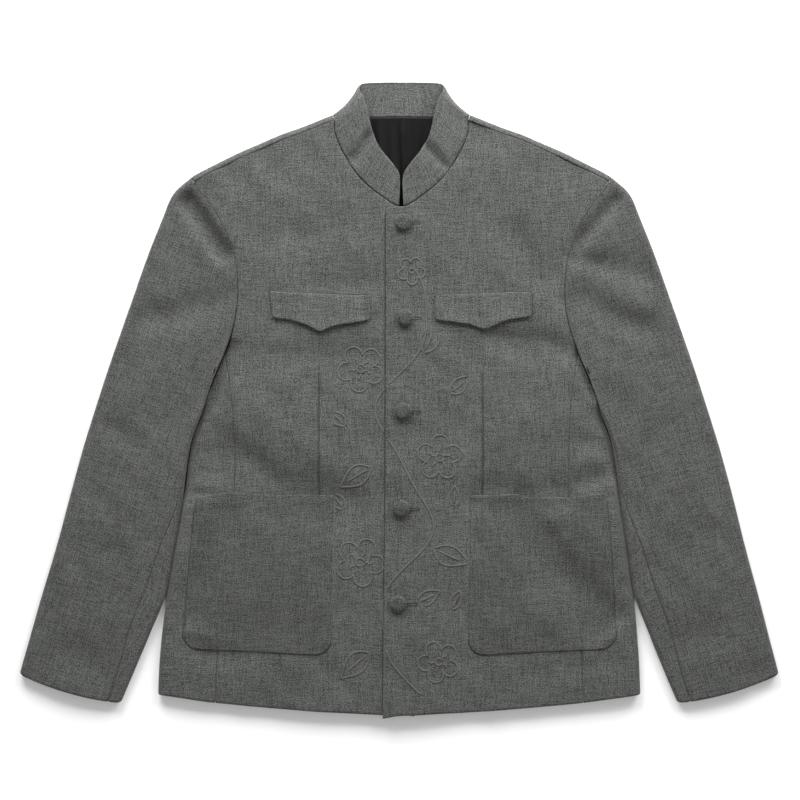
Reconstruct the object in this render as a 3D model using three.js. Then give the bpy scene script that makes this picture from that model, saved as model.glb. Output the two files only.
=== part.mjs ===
/**
 * Stand-collar wool jacket, buttoned up and laid flat on its back.
 *
 * Millimetres, +Z up off the surface, +Y towards the collar, +X towards the
 * wearer's left. The origin lies on the surface, under the middle of the bounding
 * box. Each panel is a closed wall of cloth: a grid of points on its outer face,
 * joined by a rim to the same grid moved inwards. Plan outlines are given for one
 * half, as distances from the jacket's centre line, and both halves use them.
 */
import * as THREE from 'three';

// ---- Cloth -----------------------------------------------------------------
const CLOTH_WALL = 2.0; // wool with its interlining and lining
const COLLAR_WALL = 2.2;
const PATCH_WALL = 1.6; // pockets and flaps
const LINING_WALL = 0.9;
const SEAM_GAP = 0.35; // each side of a seam stands this far from the seam's line
const FOLD_SEAM_GAP = 0.5; // the same for a seam that lies on a fold
const LAID_GAP = 0.45; // between layers that lie on each other

// ---- Lie of the garment ----------------------------------------------------
const CENTRE_BEND = { shift: 2.5, fromY: -330, toY: -90 }; // the centre line bends to +X
const BODY_LOFT = 12; // front panel's top above the surface
const SHOULDER_LOFT = 14; // the same at shoulders and neck
const LOFT_RISE = { fromY: 120, toY: 250 }; // where one passes into the other
const FOLD_RADIUS = BODY_LOFT / 2;
const SHOULDER_RADIUS = SHOULDER_LOFT / 2;
const OVERLAP = 17.5; // each front passes the centre line by this much
const OVERLAP_RISE = CLOTH_WALL + LAID_GAP;
const OVERLAP_RAMP = { from: 28, to: 66 }; // where the upper front sinks back again
const SLEEVE_WRAP = 25; // upper sleeve past the outer fold, underneath
const HEM_LIFT_BACK = 3; // back hem ends above the front hem

// ---- Outlines, measured from the centre line --------------------------------
const HEM = [
  { x: -19, y: -365.1 }, { x: 0, y: -362 }, { x: 22, y: -361 }, { x: 91, y: -357.5 },
  { x: 137, y: -354 }, { x: 183, y: -350 }, { x: 229, y: -345.5 }, { x: 264, y: -341.5 },
  { x: 277, y: -338 },
];
const BODY_FOLD = [
  { y: -338, x: 277 }, { y: -294, x: 274.5 }, { y: -239, x: 268.5 }, { y: -212, x: 263.5 },
  { y: -163, x: 255 }, { y: -115, x: 248 }, { y: -73, x: 243 }, { y: -50, x: 238 },
  { y: -32, x: 231 }, { y: -14, x: 227.5 }, { y: 3, x: 224 },
];
const SIDE_SEAM = [
  { y: -347, x: 211 }, { y: -287, x: 208.5 }, { y: -210, x: 201 }, { y: -150, x: 195 },
  { y: -104, x: 192 }, { y: -30, x: 192.5 }, { y: -3, x: 194.5 }, { y: 26, x: 198.5 },
  { y: 53, x: 203.5 },
];
const BACK_SEAM = [{ y: -344, x: 229 }, { y: 53, x: 203.5 }];
const UNDERARM = { x: 224, y: 3 };
const ARMHOLE = [
  { x: 203.5, y: 53 }, { x: 197, y: 70 }, { x: 192, y: 88 }, { x: 189, y: 105 },
  { x: 187.5, y: 128 }, { x: 188.5, y: 147 }, { x: 191.5, y: 164 }, { x: 197, y: 181 },
  { x: 205, y: 201 }, { x: 216, y: 220 }, { x: 225, y: 231.5 }, { x: 233.5, y: 241 },
  { x: 238.5, y: 249 },
];
const FRONT_CORNER = { x: -OVERLAP, y: 220.5 };
const SHOULDER = [
  { x: 79.2, y: 327.2 }, { x: 93.5, y: 321.5 }, { x: 113.5, y: 313.5 },
  { x: 139.5, y: 304.3 }, { x: 160, y: 295.4 }, { x: 186, y: 284.2 },
  { x: 206, y: 274.3 }, { x: 231.5, y: 261.5 }, { x: 241.5, y: 255.4 },
];
const BACK_NECK = [
  { x: 0, y: 326 }, { x: 40, y: 325.2 }, { x: 66, y: 323 }, { x: 76.4, y: 320.8 },
];

// One row for each section of the sleeve, from the armhole to the cuff: the inner
// and outer folds in plan, the loft at each, and how far round the section, from
// the inner fold, the seam that shows on top lies.
const SLEEVE = [
  { inX: 224.4, inY: 3, outX: 241.5, outY: 255.4, loftIn: 12, loftOut: 14, seam: 3 },
  { inX: 227.5, inY: -6, outX: 262, outY: 236, loftIn: 12, loftOut: 14, seam: 3 },
  { inX: 231.5, inY: -16, outX: 275, outY: 206, loftIn: 12, loftOut: 13.6, seam: 3 },
  { inX: 236.5, inY: -27, outX: 291, outY: 166, loftIn: 12, loftOut: 13.2, seam: 3 },
  { inX: 241.5, inY: -40, outX: 306.5, outY: 122, loftIn: 12, loftOut: 12.8, seam: 3 },
  { inX: 246, inY: -56, outX: 322, outY: 78, loftIn: 12, loftOut: 12.4, seam: 3 },
  { inX: 249.5, inY: -78, outX: 336.5, outY: 36, loftIn: 12, loftOut: 12, seam: 3 },
  { inX: 253, inY: -106, outX: 350.5, outY: -7, loftIn: 11.8, loftOut: 11.8, seam: 5 },
  { inX: 258, inY: -140, outX: 366, outY: -57, loftIn: 11.6, loftOut: 11.6, seam: 12 },
  { inX: 264, inY: -180, outX: 381, outY: -112, loftIn: 11.4, loftOut: 11.4, seam: 21 },
  { inX: 271.5, inY: -225, outX: 396, outY: -170, loftIn: 11.2, loftOut: 11.2, seam: 27 },
  { inX: 287, inY: -267, outX: 412, outY: -226, loftIn: 11, loftOut: 11, seam: 27 },
  { inX: 303, inY: -307, outX: 425, outY: -274, loftIn: 10.8, loftOut: 10.8, seam: 22 },
  { inX: 319.5, inY: -347, outX: 436, outY: -314, loftIn: 10.4, loftOut: 10.4, seam: 18 },
];
// The armhole's shape dies away over `headShare` of the sleeve's length. The cuff's
// edge curves `cuffDip` below its chord. The flat of the sleeve swells by `crown`.
const SLEEVE_FORM = {
  headShare: 0.38, cuffFrom: 0.85, cuffDip: 6, cuffPower: 0.7, crown: 1.2, edge: 24, rows: 14,
  denseShare: 0.4, denseRows: 8,
};

// One row for each generator of the collar band, from the front end, round the side
// fold, to the centre back: its foot on the neck seam, its free edge, whose height is
// for a foot at SHOULDER_LOFT, and how far its middle bends in towards the centre.
const COLLAR = [
  { footX: 3.7, footY: 222.4, edgeX: 1.4, edgeY: 250, edgeZ: 15, waist: 0 },
  { footX: 10, footY: 225, edgeX: 2.4, edgeY: 258.5, edgeZ: 15.4, waist: 0 },
  { footX: 20, footY: 231.6, edgeX: 7.4, edgeY: 267, edgeZ: 16, waist: 0 },
  { footX: 31, footY: 239.6, edgeX: 16.5, edgeY: 278, edgeZ: 17, waist: 0 },
  { footX: 43.5, footY: 250.5, edgeX: 25, edgeY: 289, edgeZ: 18, waist: 0 },
  { footX: 55.8, footY: 265.5, edgeX: 31.5, edgeY: 301, edgeZ: 19.4, waist: 0 },
  { footX: 65.5, footY: 281.5, edgeX: 35, edgeY: 313, edgeZ: 20.6, waist: 0 },
  { footX: 72.3, footY: 295, edgeX: 37.6, edgeY: 325, edgeZ: 21.6, waist: 0.5 },
  { footX: 76, footY: 307, edgeX: 40.4, edgeY: 336, edgeZ: 22, waist: 1.3 },
  { footX: 76.6, footY: 317, edgeX: 43.2, edgeY: 346, edgeZ: 21, waist: 2.3 },
];
const COLLAR_FOLD = {
  footX: 76.4, footY: 320.8, edgeX: 45, edgeReach: 5, edgeFromY: 352, edgeToY: 363.8, edgeZ: 19,
  waist: 3,
};
const COLLAR_BACK = [
  { footX: 66, footY: 323, edgeX: 38, edgeY: 364.4, waist: 2 },
  { footX: 40, footY: 325.2, edgeX: 26, edgeY: 364.8, waist: 1 },
  { footX: 20, footY: 325.8, edgeX: 13, edgeY: 365, waist: 0 },
  { footX: 0, footY: 326, edgeX: 0, edgeY: 365, waist: 0 },
];
const WAIST_DROP = 0.4; // the bend also goes down, by this share

// How a front's grid is shared out. Shares are of the rows, or of the columns.
const FRONT = {
  openingShare: 0.76, // rows below the neck, at the opening
  seamShare: 0.64, // rows below the armhole, at the side
  rowsBelow: 11, // as many rows below the armhole
  denseShare: 0.5, // columns closer together, where one front rides over the other
  underLift: 2.2, // the lower front's hem corner stays hidden by this much
  lapLean: 1, // the upper front's edge leans out by this much at the hem
};
const SIDE_ROWS = 13;
const BACK = { neckShare: 0.3, seamShare: 0.64, rowsBelow: 4 };

// Soft troughs that the cloth has sunk into, in the jacket's own plan.
const CREASES = [
  { from: [-255, 241], to: [-195, 165], depth: 2.2, width: 11 },
  { from: [-192, 118], to: [-298, 103], depth: 1.6, width: 13 },
  { from: [-205, 60], to: [-262, 52], depth: 1.2, width: 11 },
  { from: [247, 230], to: [199, 170], depth: 1.8, width: 10 },
  { from: [194, 135], to: [245, 104], depth: 1.8, width: 11 },
  { from: [137, 201], to: [168, 155], depth: 1.8, width: 13 },
  { from: [340, -10], to: [275, -60], depth: 1.2, width: 15 },
  { from: [-345, -20], to: [-280, -62], depth: 1.2, width: 15 },
];

const FLAP = { innerX: 38.5, outerX: 149.3, topInnerY: 120, topOuterY: 124.3, lift: 1.6 };
const FLAP_EDGE = [
  { x: 38.5, y: 95.5 }, { x: 66.5, y: 89 }, { x: 80.5, y: 86 }, { x: 94.5, y: 80.5 },
  { x: 109.5, y: 88 }, { x: 124.6, y: 92 }, { x: 149.3, y: 97.5 },
];
const POCKET = {
  innerX: 79.5, topOuterX: 235, bottomOuterX: 248.5, topY: -110, bottomY: -289.5, corner: 15,
  sidePower: 0.75,
};
const BUTTON = { radius: 10, height: 5.4, foot: 7.5, brim: 2.1 };
const BUTTONS = [
  { x: 4.4, y: 203.6 }, { x: 6.7, y: 94.3 }, { x: 4.4, y: -12.7 }, { x: 2.1, y: -124.2 },
  { x: -1.4, y: -233.5 },
];
const LINING = {
  bottomY: 208, halfBottom: 40, halfTop: 64, pleatX: 4, pleatDepth: 2.4, pleatWidth: 5,
  clearance: 0.3,
};

const WOOL = { color: 0x5d615c, roughness: 0.9, metalness: 0 };
const SATIN = { color: 0x1d1d20, roughness: 0.45, metalness: 0 };

// ---- Small tools -------------------------------------------------------------
const { clamp, lerp, smoothstep } = THREE.MathUtils;

/** A list of count + 1 even steps from a to b. */
const steps = (a, b, count) => Array.from({ length: count + 1 }, (_, i) => lerp(a, b, i / count));

/** A smooth curve through a table's rows: column `of` as a function of column `by`. */
function column(rows, by, of) {
  const x = rows.map((row, i) => (by === 'index' ? i : row[by]));
  const y = rows.map((row) => row[of]);
  const slope = (i) => {
    const a = Math.max(i - 1, 0);
    const b = Math.min(i + 1, x.length - 1);
    return (y[b] - y[a]) / (x[b] - x[a]);
  };
  return (at) => {
    let i = 0;
    while (i < x.length - 2 && at > x[i + 1]) i += 1;
    const span = x[i + 1] - x[i];
    const t = clamp((at - x[i]) / span, 0, 1);
    const rise = y[i + 1] - y[i];
    const c0 = slope(i) * span - rise;
    const c1 = rise - slope(i + 1) * span;
    return y[i] + t * rise + t * (1 - t) * ((1 - t) * c0 + t * c1);
  };
}

/** A plan curve through a table's x and y, read by its length from 0 to 1. */
function through(rows) {
  const curve = new THREE.SplineCurve(rows.map(({ x, y }) => new THREE.Vector2(x, y)));
  return (t) => curve.getPointAt(clamp(t, 0, 1));
}

/** Straight runs between a table's plan points, an even share of 0 to 1 for each. */
const pointByPoint = (rows) => (t) => new THREE.Vector2(
  column(rows, 'index', 'x')(t * (rows.length - 1)),
  column(rows, 'index', 'y')(t * (rows.length - 1)),
);

/** Two plan curves end to end; the first takes `share` of the parameter. */
const joined = (first, second, share) => (t) => (
  t < share ? first(t / share) : second((t - share) / (1 - share)));

/** A plan curve replaced by its chords between the places given. */
function chords(curve, places) {
  const points = places.map((t) => curve(t));
  return (t) => {
    let i = 0;
    while (i < places.length - 2 && t > places[i + 1]) i += 1;
    const share = (t - places[i]) / (places[i + 1] - places[i]);
    return points[i].clone().lerp(points[i + 1], clamp(share, 0, 1));
  };
}

const FAR_POWER = 2.5; // how quickly the bends of a patch's far edge die away across it

/** A plan patch between four edges, each a function of 0 to 1. */
function patch(bottom, top, near, far) {
  const bend = (edge, v) => edge(v).sub(edge(0).lerp(edge(1), v));
  return (u, v) => bottom(u).lerp(top(u), v)
    .addScaledVector(bend(near, v), 1 - u)
    .addScaledVector(bend(far, v), u ** FAR_POWER);
}

/** How far the centre line lies to +X at this height in plan. */
function centreX(y) {
  const { shift, fromY, toY } = CENTRE_BEND;
  return shift * smoothstep(y, fromY, toY);
}

/** A half-plan point placed on its side of the jacket. */
const placed = (side, x, y, z) => new THREE.Vector3(side * x + centreX(y), y, z);

// ---- Heights -------------------------------------------------------------------
const foldX = column(BODY_FOLD, 'y', 'x');
const hemY = column(HEM, 'x', 'y');

/** How deep the troughs are at a plan point. */
function creaseDepth(x, y) {
  let depth = 0;
  for (const { from, to, depth: full, width } of CREASES) {
    const [ax, ay] = from;
    const length = Math.hypot(to[0] - ax, to[1] - ay);
    const [dx, dy] = [(to[0] - ax) / length, (to[1] - ay) / length];
    const along = (x - ax) * dx + (y - ay) * dy;
    const off = (x - ax) * dy - (y - ay) * dx;
    const taper = smoothstep(along, -width, width) * smoothstep(length - along, -width, width);
    depth += full * taper * Math.exp(-((off / width) ** 2));
  }
  return depth;
}

/** Height of the body's top at this height in plan, before its troughs. */
function loft(y) {
  return lerp(BODY_LOFT, SHOULDER_LOFT, smoothstep(y, LOFT_RISE.fromY, LOFT_RISE.toY));
}

/** Top of the body at a plan point, away from its rounded edges. */
const bodyTop = (x, y) => loft(y) - creaseDepth(x, y);

/** How far a fold of this radius has dropped at a distance in from its edge. */
function edgeDrop(distance, radius) {
  const short = clamp(radius - distance, 0, radius);
  return radius - Math.sqrt(radius ** 2 - short ** 2);
}

/** Top of the fronts: the wearer's left one rides over the other. */
function frontTop(side, x, y) {
  const ride = side > 0 ? 1 - smoothstep(x, OVERLAP_RAMP.from, OVERLAP_RAMP.to) : 0;
  return bodyTop(x, y) + OVERLAP_RISE * ride;
}

/** A point on top of a front, from its half-plan place. */
function onFront(side, x, y, raise = 0) {
  const point = placed(side, x, y, 0);
  point.z = frontTop(side, point.x, y) + raise;
  return point;
}

// ---- Walls ---------------------------------------------------------------------
/**
 * A closed wall of cloth.
 * @param {THREE.Vector3[][]} outer rows of points on the outer face
 * @param {number} wall thickness, measured inwards
 * @param {number} side 1, or -1 where the rows were mirrored
 * @param {(i: number, j: number) => boolean} present which cells exist
 */
function wallGeometry(outer, wall, side = 1, present = () => true) {
  const rows = side > 0 ? outer : outer.map((row) => [...row].reverse());
  const [m, n] = [rows.length - 1, rows[0].length - 1];
  const inGrid = (i, j) => i >= 0 && j >= 0 && i < m && j < n;
  const has = (i, j) => inGrid(i, j) && present(i, side > 0 ? j : n - 1 - j);
  const normals = rows.map((row) => row.map(() => new THREE.Vector3()));
  const [ab, ac] = [new THREE.Vector3(), new THREE.Vector3()];
  const around = (i, j) => [[i, j], [i, j + 1], [i + 1, j + 1], [i + 1, j]];
  const cells = [];
  for (let i = 0; i < m; i += 1) {
    for (let j = 0; j < n; j += 1) {
      if (has(i, j)) cells.push([i, j]);
    }
  }
  for (const [i, j] of cells) {
    ab.subVectors(rows[i + 1][j + 1], rows[i][j]);
    ac.subVectors(rows[i + 1][j], rows[i][j + 1]);
    const normal = ab.clone().cross(ac);
    for (const [k, l] of around(i, j)) normals[k][l].add(normal);
  }
  const positions = [];
  const index = rows.map((row) => row.map(() => -1));
  const point = (k, l) => {
    if (index[k][l] < 0) {
      index[k][l] = positions.length / 3;
      const inner = rows[k][l].clone().addScaledVector(normals[k][l].normalize(), -wall);
      positions.push(...rows[k][l].toArray(), ...inner.toArray());
    }
    return index[k][l];
  };
  const triangles = [];
  for (const [i, j] of cells) {
    const [a, b, c, d] = around(i, j).map(([k, l]) => point(k, l));
    const flip = rows[i][j].distanceTo(rows[i + 1][j + 1])
      > rows[i][j + 1].distanceTo(rows[i + 1][j]);
    const faces = flip ? [[a, b, d], [b, c, d]] : [[a, b, c], [a, c, d]];
    for (const [p, q, r] of faces) triangles.push(p, q, r, p + 1, r + 1, q + 1);
    const edges = [[a, b, i - 1, j], [b, c, i, j + 1], [c, d, i + 1, j], [d, a, i, j - 1]];
    for (const [p, q, k, l] of edges) {
      if (!has(k, l)) triangles.push(q, p, p + 1, q, p + 1, q + 1);
    }
  }
  const geometry = new THREE.BufferGeometry();
  geometry.setAttribute('position', new THREE.Float32BufferAttribute(positions, 3));
  geometry.setIndex(triangles);
  geometry.computeVertexNormals();
  return geometry;
}

const jacket = new THREE.Group();

function addPiece(name, geometry, finish) {
  const mesh = new THREE.Mesh(geometry, new THREE.MeshStandardMaterial(finish));
  mesh.name = name;
  jacket.add(mesh);
}

const sideName = (side) => (side > 0 ? 'left' : 'right');

// ---- Armhole and shoulder lines ----------------------------------------------
const shoulderLine = through(SHOULDER);
const armholeUpper = through(ARMHOLE);
const ARMHOLE_LENGTHS = { lower: 54, upper: 224 };
const ARMHOLE_SHARE = ARMHOLE_LENGTHS.lower / (ARMHOLE_LENGTHS.lower + ARMHOLE_LENGTHS.upper);
const ARMHOLE_TIP = 0.965; // where the armhole starts over the shoulder's edge
const ARMHOLE_STATIONS = steps(0, 1, 9); // both sides of the seam have points at these
const SHOULDER_STATIONS = steps(0, 1, 6); // and of the shoulder seam at these

/** Outward direction of the shoulder's silhouette in plan. */
function shoulderNormal(t) {
  const step = 0.02;
  const ahead = shoulderLine(Math.min(t + step, 1));
  const run = ahead.sub(shoulderLine(Math.max(t - step, 0))).normalize();
  return new THREE.Vector2(-run.y, run.x);
}

/** A point on the shoulder, `inset` in from its silhouette. */
const shoulderPoint = (t, inset) => shoulderLine(t).addScaledVector(shoulderNormal(t), -inset);

/** Panel rows above the side seam, which takes the first `share` of the rows. */
const upperArmhole = (share) => ARMHOLE_STATIONS.slice(1).map((t) => lerp(share, 1, t));

/** A seam's curve moved by `shift` in x. */
const shifted = (curve, shift) => (t) => {
  const point = curve(t);
  point.x += shift;
  return point;
};

/** A curve's plan point at the length where an x-by-y table has it. */
function lineBy(rows, fromY, toY) {
  const xAt = column(rows, 'y', 'x');
  return (t) => {
    const y = lerp(fromY, toY, t);
    return new THREE.Vector2(xAt(y), y);
  };
}

// ---- Front panels ---------------------------------------------------------------
/** A front's rows: every place that its neck or its armhole has a station at. */
function frontRows(feet) {
  const { openingShare, seamShare, rowsBelow } = FRONT;
  const neckRows = steps(openingShare, 1, feet);
  const upper = [...upperArmhole(seamShare), ...neckRows].sort((a, b) => a - b);
  const apart = upper.filter((v, i) => i === 0 || v - upper[i - 1] > 1e-6);
  return [...steps(0, seamShare, rowsBelow), ...apart];
}

function addFront(side) {
  const { openingShare, seamShare, underLift, lapLean, denseShare } = FRONT;
  const lift = side > 0 ? 0 : underLift;
  const hem = (t) => {
    const x = lerp(-OVERLAP - (side > 0 ? lapLean : 0), SIDE_SEAM[0].x - SEAM_GAP, t);
    return new THREE.Vector2(x, hemY(x) + lift * (1 - smoothstep(x, -20, 20)));
  };
  const shoulderSeam = (t) => shoulderPoint(t, SHOULDER_RADIUS + SEAM_GAP)
    .add(new THREE.Vector2(lerp(SEAM_GAP, -SEAM_GAP, t), 0));
  const neckFeet = [...COLLAR, COLLAR_FOLD].map(({ footX, footY }) => ({
    x: footX + SEAM_GAP, y: footY - SEAM_GAP,
  }));
  const feet = neckFeet.length;
  const neck = chords(pointByPoint([FRONT_CORNER, ...neckFeet]), steps(0, 1, feet));
  const opening = (t) => hem(0).lerp(neck(0), t);
  const armhole = shifted(armholeUpper, -SEAM_GAP);
  const tip = shoulderSeam(1);
  const upper = chords((t) => (t === 1 ? tip.clone() : armhole(t)), ARMHOLE_STATIONS);
  const seam = shifted(lineBy(SIDE_SEAM, SIDE_SEAM[0].y, ARMHOLE[0].y), -SEAM_GAP);
  const plan = patch(
    hem,
    chords(shoulderSeam, SHOULDER_STATIONS),
    joined(opening, neck, openingShare),
    joined(seam, upper, seamShare),
  );
  const us = [...steps(0, denseShare, 9), ...steps(denseShare, 1, 6).slice(1)];
  const rows = frontRows(feet).map((v) => us.map((u) => {
    const { x, y } = plan(u, v);
    return onFront(side, x, y);
  }));
  addPiece(`front_${sideName(side)}`, wallGeometry(rows, CLOTH_WALL, side), WOOL);
}

// ---- Side panels ------------------------------------------------------------------
/** Places round a fold: on top, round the arc and underneath. */
function foldStations(over, arc, under) {
  const angles = steps(90, -90, arc).map((angle) => ({ angle: angle * (Math.PI / 180) }));
  return [
    ...steps(0, 1, over).slice(0, -1).map((t) => ({ over: t })),
    ...angles,
    ...steps(1, 0, under).slice(1).map((t) => ({ under: t })),
  ];
}

function addSide(side) {
  const stations = foldStations(3, 5, 2);
  const radius = FOLD_RADIUS;
  const seamEnd = ARMHOLE[0].y;
  const rows = steps(0, 1, SIDE_ROWS).map((v) => {
    const foldY = lerp(BODY_FOLD[0].y, UNDERARM.y, v);
    const fold = new THREE.Vector2(foldX(foldY) - SEAM_GAP * v, foldY);
    const topY = lerp(hemY(SIDE_SEAM[0].x), seamEnd, v);
    const topX = column(SIDE_SEAM, 'y', 'x')(topY) + SEAM_GAP;
    const seam = new THREE.Vector2(topX, topY - SEAM_GAP * 2 * v);
    const backY = lerp(hemY(BACK_SEAM[0].x) + HEM_LIFT_BACK, seamEnd, v);
    const backX = column(BACK_SEAM, 'y', 'x')(backY) + SEAM_GAP;
    const back = new THREE.Vector2(backX, backY - SEAM_GAP * 2 * v);
    const inFrom = (target, distance) => {
      const run = target.clone().sub(fold);
      return fold.clone().addScaledVector(run, distance / run.length());
    };
    return stations.map(({ over, angle, under }) => {
      if (over !== undefined) {
        const plan = seam.clone().lerp(inFrom(seam, radius), over);
        const point = placed(side, plan.x, plan.y, 0);
        point.z = bodyTop(point.x, plan.y);
        return point;
      }
      if (under !== undefined) {
        const plan = back.clone().lerp(inFrom(back, radius), under);
        return placed(side, plan.x, plan.y, 0);
      }
      const plan = inFrom(angle > 0 ? seam : back, radius * (1 - Math.cos(angle)));
      return placed(side, plan.x, plan.y, radius * (1 + Math.sin(angle)));
    });
  });
  addPiece(`side_${sideName(side)}`, wallGeometry(rows, CLOTH_WALL, side), WOOL);
}

// ---- Back ------------------------------------------------------------------------
function addBack() {
  const { neckShare, seamShare, rowsBelow } = BACK;
  const hem = (t) => {
    const x = lerp(0, BACK_SEAM[0].x - SEAM_GAP, t);
    return new THREE.Vector2(x, hemY(x) + HEM_LIFT_BACK);
  };
  const neck = through(BACK_NECK.map(({ x, y }) => ({ x, y: y - SEAM_GAP })));
  const clear = (t) => new THREE.Vector2(lerp(SEAM_GAP, -SEAM_GAP, t), 0);
  const shoulderBase = (t) => shoulderPoint(t, SHOULDER_RADIUS).add(clear(t));
  const top = joined(neck, shoulderBase, neckShare);
  const centre = (t) => new THREE.Vector2(0, lerp(hem(0).y, neck(0).y, t));
  const side = lineBy(BACK_SEAM, BACK_SEAM[0].y, ARMHOLE[0].y);
  const lateral = joined(side, armholeUpper, seamShare);
  const outer = (t) => (t === 1 ? shoulderBase(1) : shifted(lateral, -SEAM_GAP)(t));
  const plan = patch(hem, top, centre, outer);
  const us = [...steps(0, neckShare, 3), ...steps(neckShare, 1, 6).slice(1)];
  const vs = [...steps(0, seamShare, rowsBelow), ...upperArmhole(seamShare)];
  const across = [...us.slice(1).reverse().map((u) => [-1, u]), ...us.map((u) => [1, u])];
  const flat = vs.map((v) => across.map(([half, u]) => {
    const { x, y } = plan(u, v);
    return placed(half, x, y, 0);
  }));
  const lastTurn = Math.PI - Math.asin(SEAM_GAP / SHOULDER_RADIUS);
  const turns = steps(0, lastTurn, 6).slice(1);
  const wrap = turns.map((angle) => across.map(([half, u]) => {
    const t = Math.max(u - neckShare, 0) / (1 - neckShare);
    const { x, y } = shoulderPoint(t, SHOULDER_RADIUS * (1 - Math.sin(angle))).add(clear(t));
    return placed(half, x, y, SHOULDER_RADIUS * (1 - Math.cos(angle)));
  }));
  const firstWrap = vs.length - 1;
  const middle = us.length - 1;
  const isShoulder = (j) => {
    const cell = j < middle ? middle - 1 - j : j - middle;
    return us[cell] >= neckShare;
  };
  const present = (i, j) => i < firstWrap || isShoulder(j);
  // Seen from below, the rows run the other way round.
  addPiece('back', wallGeometry([...flat, ...wrap], CLOTH_WALL, -1, present), WOOL);
}

// ---- Sleeves -----------------------------------------------------------------------
const sleeveColumn = Object.fromEntries(Object.keys(SLEEVE[0])
  .map((name) => [name, column(SLEEVE, 'index', name)]));

/** The armhole seam from the underarm to the shoulder tip, as the sleeve meets it. */
function armholeLine(t) {
  const lower = new THREE.Vector2(UNDERARM.x, UNDERARM.y);
  const point = t < ARMHOLE_SHARE
    ? lower.lerp(armholeUpper(0), t / ARMHOLE_SHARE)
    : armholeUpper(Math.min((t - ARMHOLE_SHARE) / (ARMHOLE_TIP - ARMHOLE_SHARE), 1));
  if (t > ARMHOLE_TIP) point.lerp(shoulderLine(1), (t - ARMHOLE_TIP) / (1 - ARMHOLE_TIP));
  point.x += SEAM_GAP;
  return point;
}

/** Section of a sleeve at v, 0 at the armhole and 1 at the cuff. */
function sleeveSection(v) {
  const at = (name) => sleeveColumn[name](v * (SLEEVE.length - 1));
  const inner = new THREE.Vector2(at('inX'), at('inY'));
  const outer = new THREE.Vector2(at('outX'), at('outY'));
  const width = inner.distanceTo(outer);
  const radius = { inner: at('loftIn') / 2, outer: at('loftOut') / 2 };
  const arc = { inner: radius.inner * (Math.PI / 2), outer: radius.outer * (Math.PI / 2) };
  const flat = width - radius.inner - radius.outer;
  const half = arc.inner + flat + arc.outer;
  const { headShare, cuffFrom, cuffDip, cuffPower } = SLEEVE_FORM;
  const atHead = 1 - smoothstep(v, 0, headShare);
  const atCuff = smoothstep(v, cuffFrom, 1);
  const plan = (u) => {
    const chord = inner.clone().lerp(outer, u);
    const headChord = new THREE.Vector2(SLEEVE[0].inX, SLEEVE[0].inY)
      .lerp(new THREE.Vector2(SLEEVE[0].outX, SLEEVE[0].outY), u);
    const bulge = armholeLine(u).sub(headChord).multiplyScalar(atHead);
    const dip = cuffDip * atCuff * Math.sin(Math.PI * clamp(u, 0, 1)) ** cuffPower;
    return chord.add(bulge).sub(new THREE.Vector2(0, dip));
  };
  return { width, radius, arc, flat, plan, seam: at('seam'), atHead, half };
}

/** The sleeve's outer face, `around` mm from the inner fold, over the top first. */
function onSleeve(side, section, around) {
  const { width, radius, arc, flat, plan, atHead, half } = section;
  const under = around > half;
  const turned = under ? 2 * half - around : around;
  const sign = under ? -1 : 1;
  if (turned < arc.inner) {
    const angle = turned / radius.inner;
    const { x, y } = plan((radius.inner * (1 - Math.cos(angle))) / width);
    return placed(side, x, y, radius.inner * (1 + sign * Math.sin(angle)));
  }
  if (turned > arc.inner + flat) {
    const angle = (half - turned) / radius.outer;
    const { x, y } = plan(1 - (radius.outer * (1 - Math.cos(angle))) / width);
    return placed(side, x, y, radius.outer * (1 + sign * Math.sin(angle)));
  }
  const inFlat = turned - arc.inner;
  const { x, y } = plan((radius.inner + inFlat) / width);
  const point = placed(side, x, y, 0);
  if (under) return point;
  const t = inFlat / flat;
  const crown = SLEEVE_FORM.crown * (1 - atHead) * Math.sin(Math.PI * t);
  const own = 2 * lerp(radius.inner, radius.outer, smoothstep(t, 0, 1)) + crown;
  const edge = smoothstep(Math.min(inFlat, flat - inFlat), 0, SLEEVE_FORM.edge);
  point.z = lerp(own, lerp(own, loft(y), edge), atHead) - creaseDepth(point.x, y) * edge;
  return point;
}

/** A sleeve's rows, closer together at its head. */
function sleeveRows() {
  const { rows, denseShare, denseRows } = SLEEVE_FORM;
  return [...steps(0, denseShare, denseRows), ...steps(denseShare, 1, rows - denseRows).slice(1)];
}

/** Shares of a section's flat stretch that meet the armhole's stations at the head. */
function flatShares(endInset = 0) {
  const { width, radius } = sleeveSection(0);
  const first = radius.inner / width;
  const last = 1 - (radius.outer + endInset) / width;
  const shares = [ARMHOLE_SHARE / 2, ARMHOLE_SHARE,
    ...ARMHOLE_STATIONS.slice(1).map((t) => lerp(ARMHOLE_SHARE, ARMHOLE_TIP, t))]
    .map((u) => (u - first) / (last - first));
  return shares.filter((share) => share < 0.99);
}

function addTopSleeve(side) {
  const shares = flatShares();
  const rows = sleeveRows().map((v) => {
    const section = sleeveSection(v);
    const { arc, flat, half, seam } = section;
    const start = seam + FOLD_SEAM_GAP;
    const crown = arc.inner + flat;
    const first = Math.max(arc.inner, start + 4);
    const stops = [
      start, lerp(start, first, 0.5), first,
      ...shares.map((share) => lerp(first, crown, share)),
      ...steps(crown, half + arc.outer, 5),
      half + arc.outer + SLEEVE_WRAP / 2,
      half + arc.outer + SLEEVE_WRAP - SEAM_GAP,
    ];
    return stops.map((around) => onSleeve(side, section, around));
  });
  addPiece(`top_sleeve_${sideName(side)}`, wallGeometry(rows, CLOTH_WALL, -side), WOOL);
}

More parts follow.
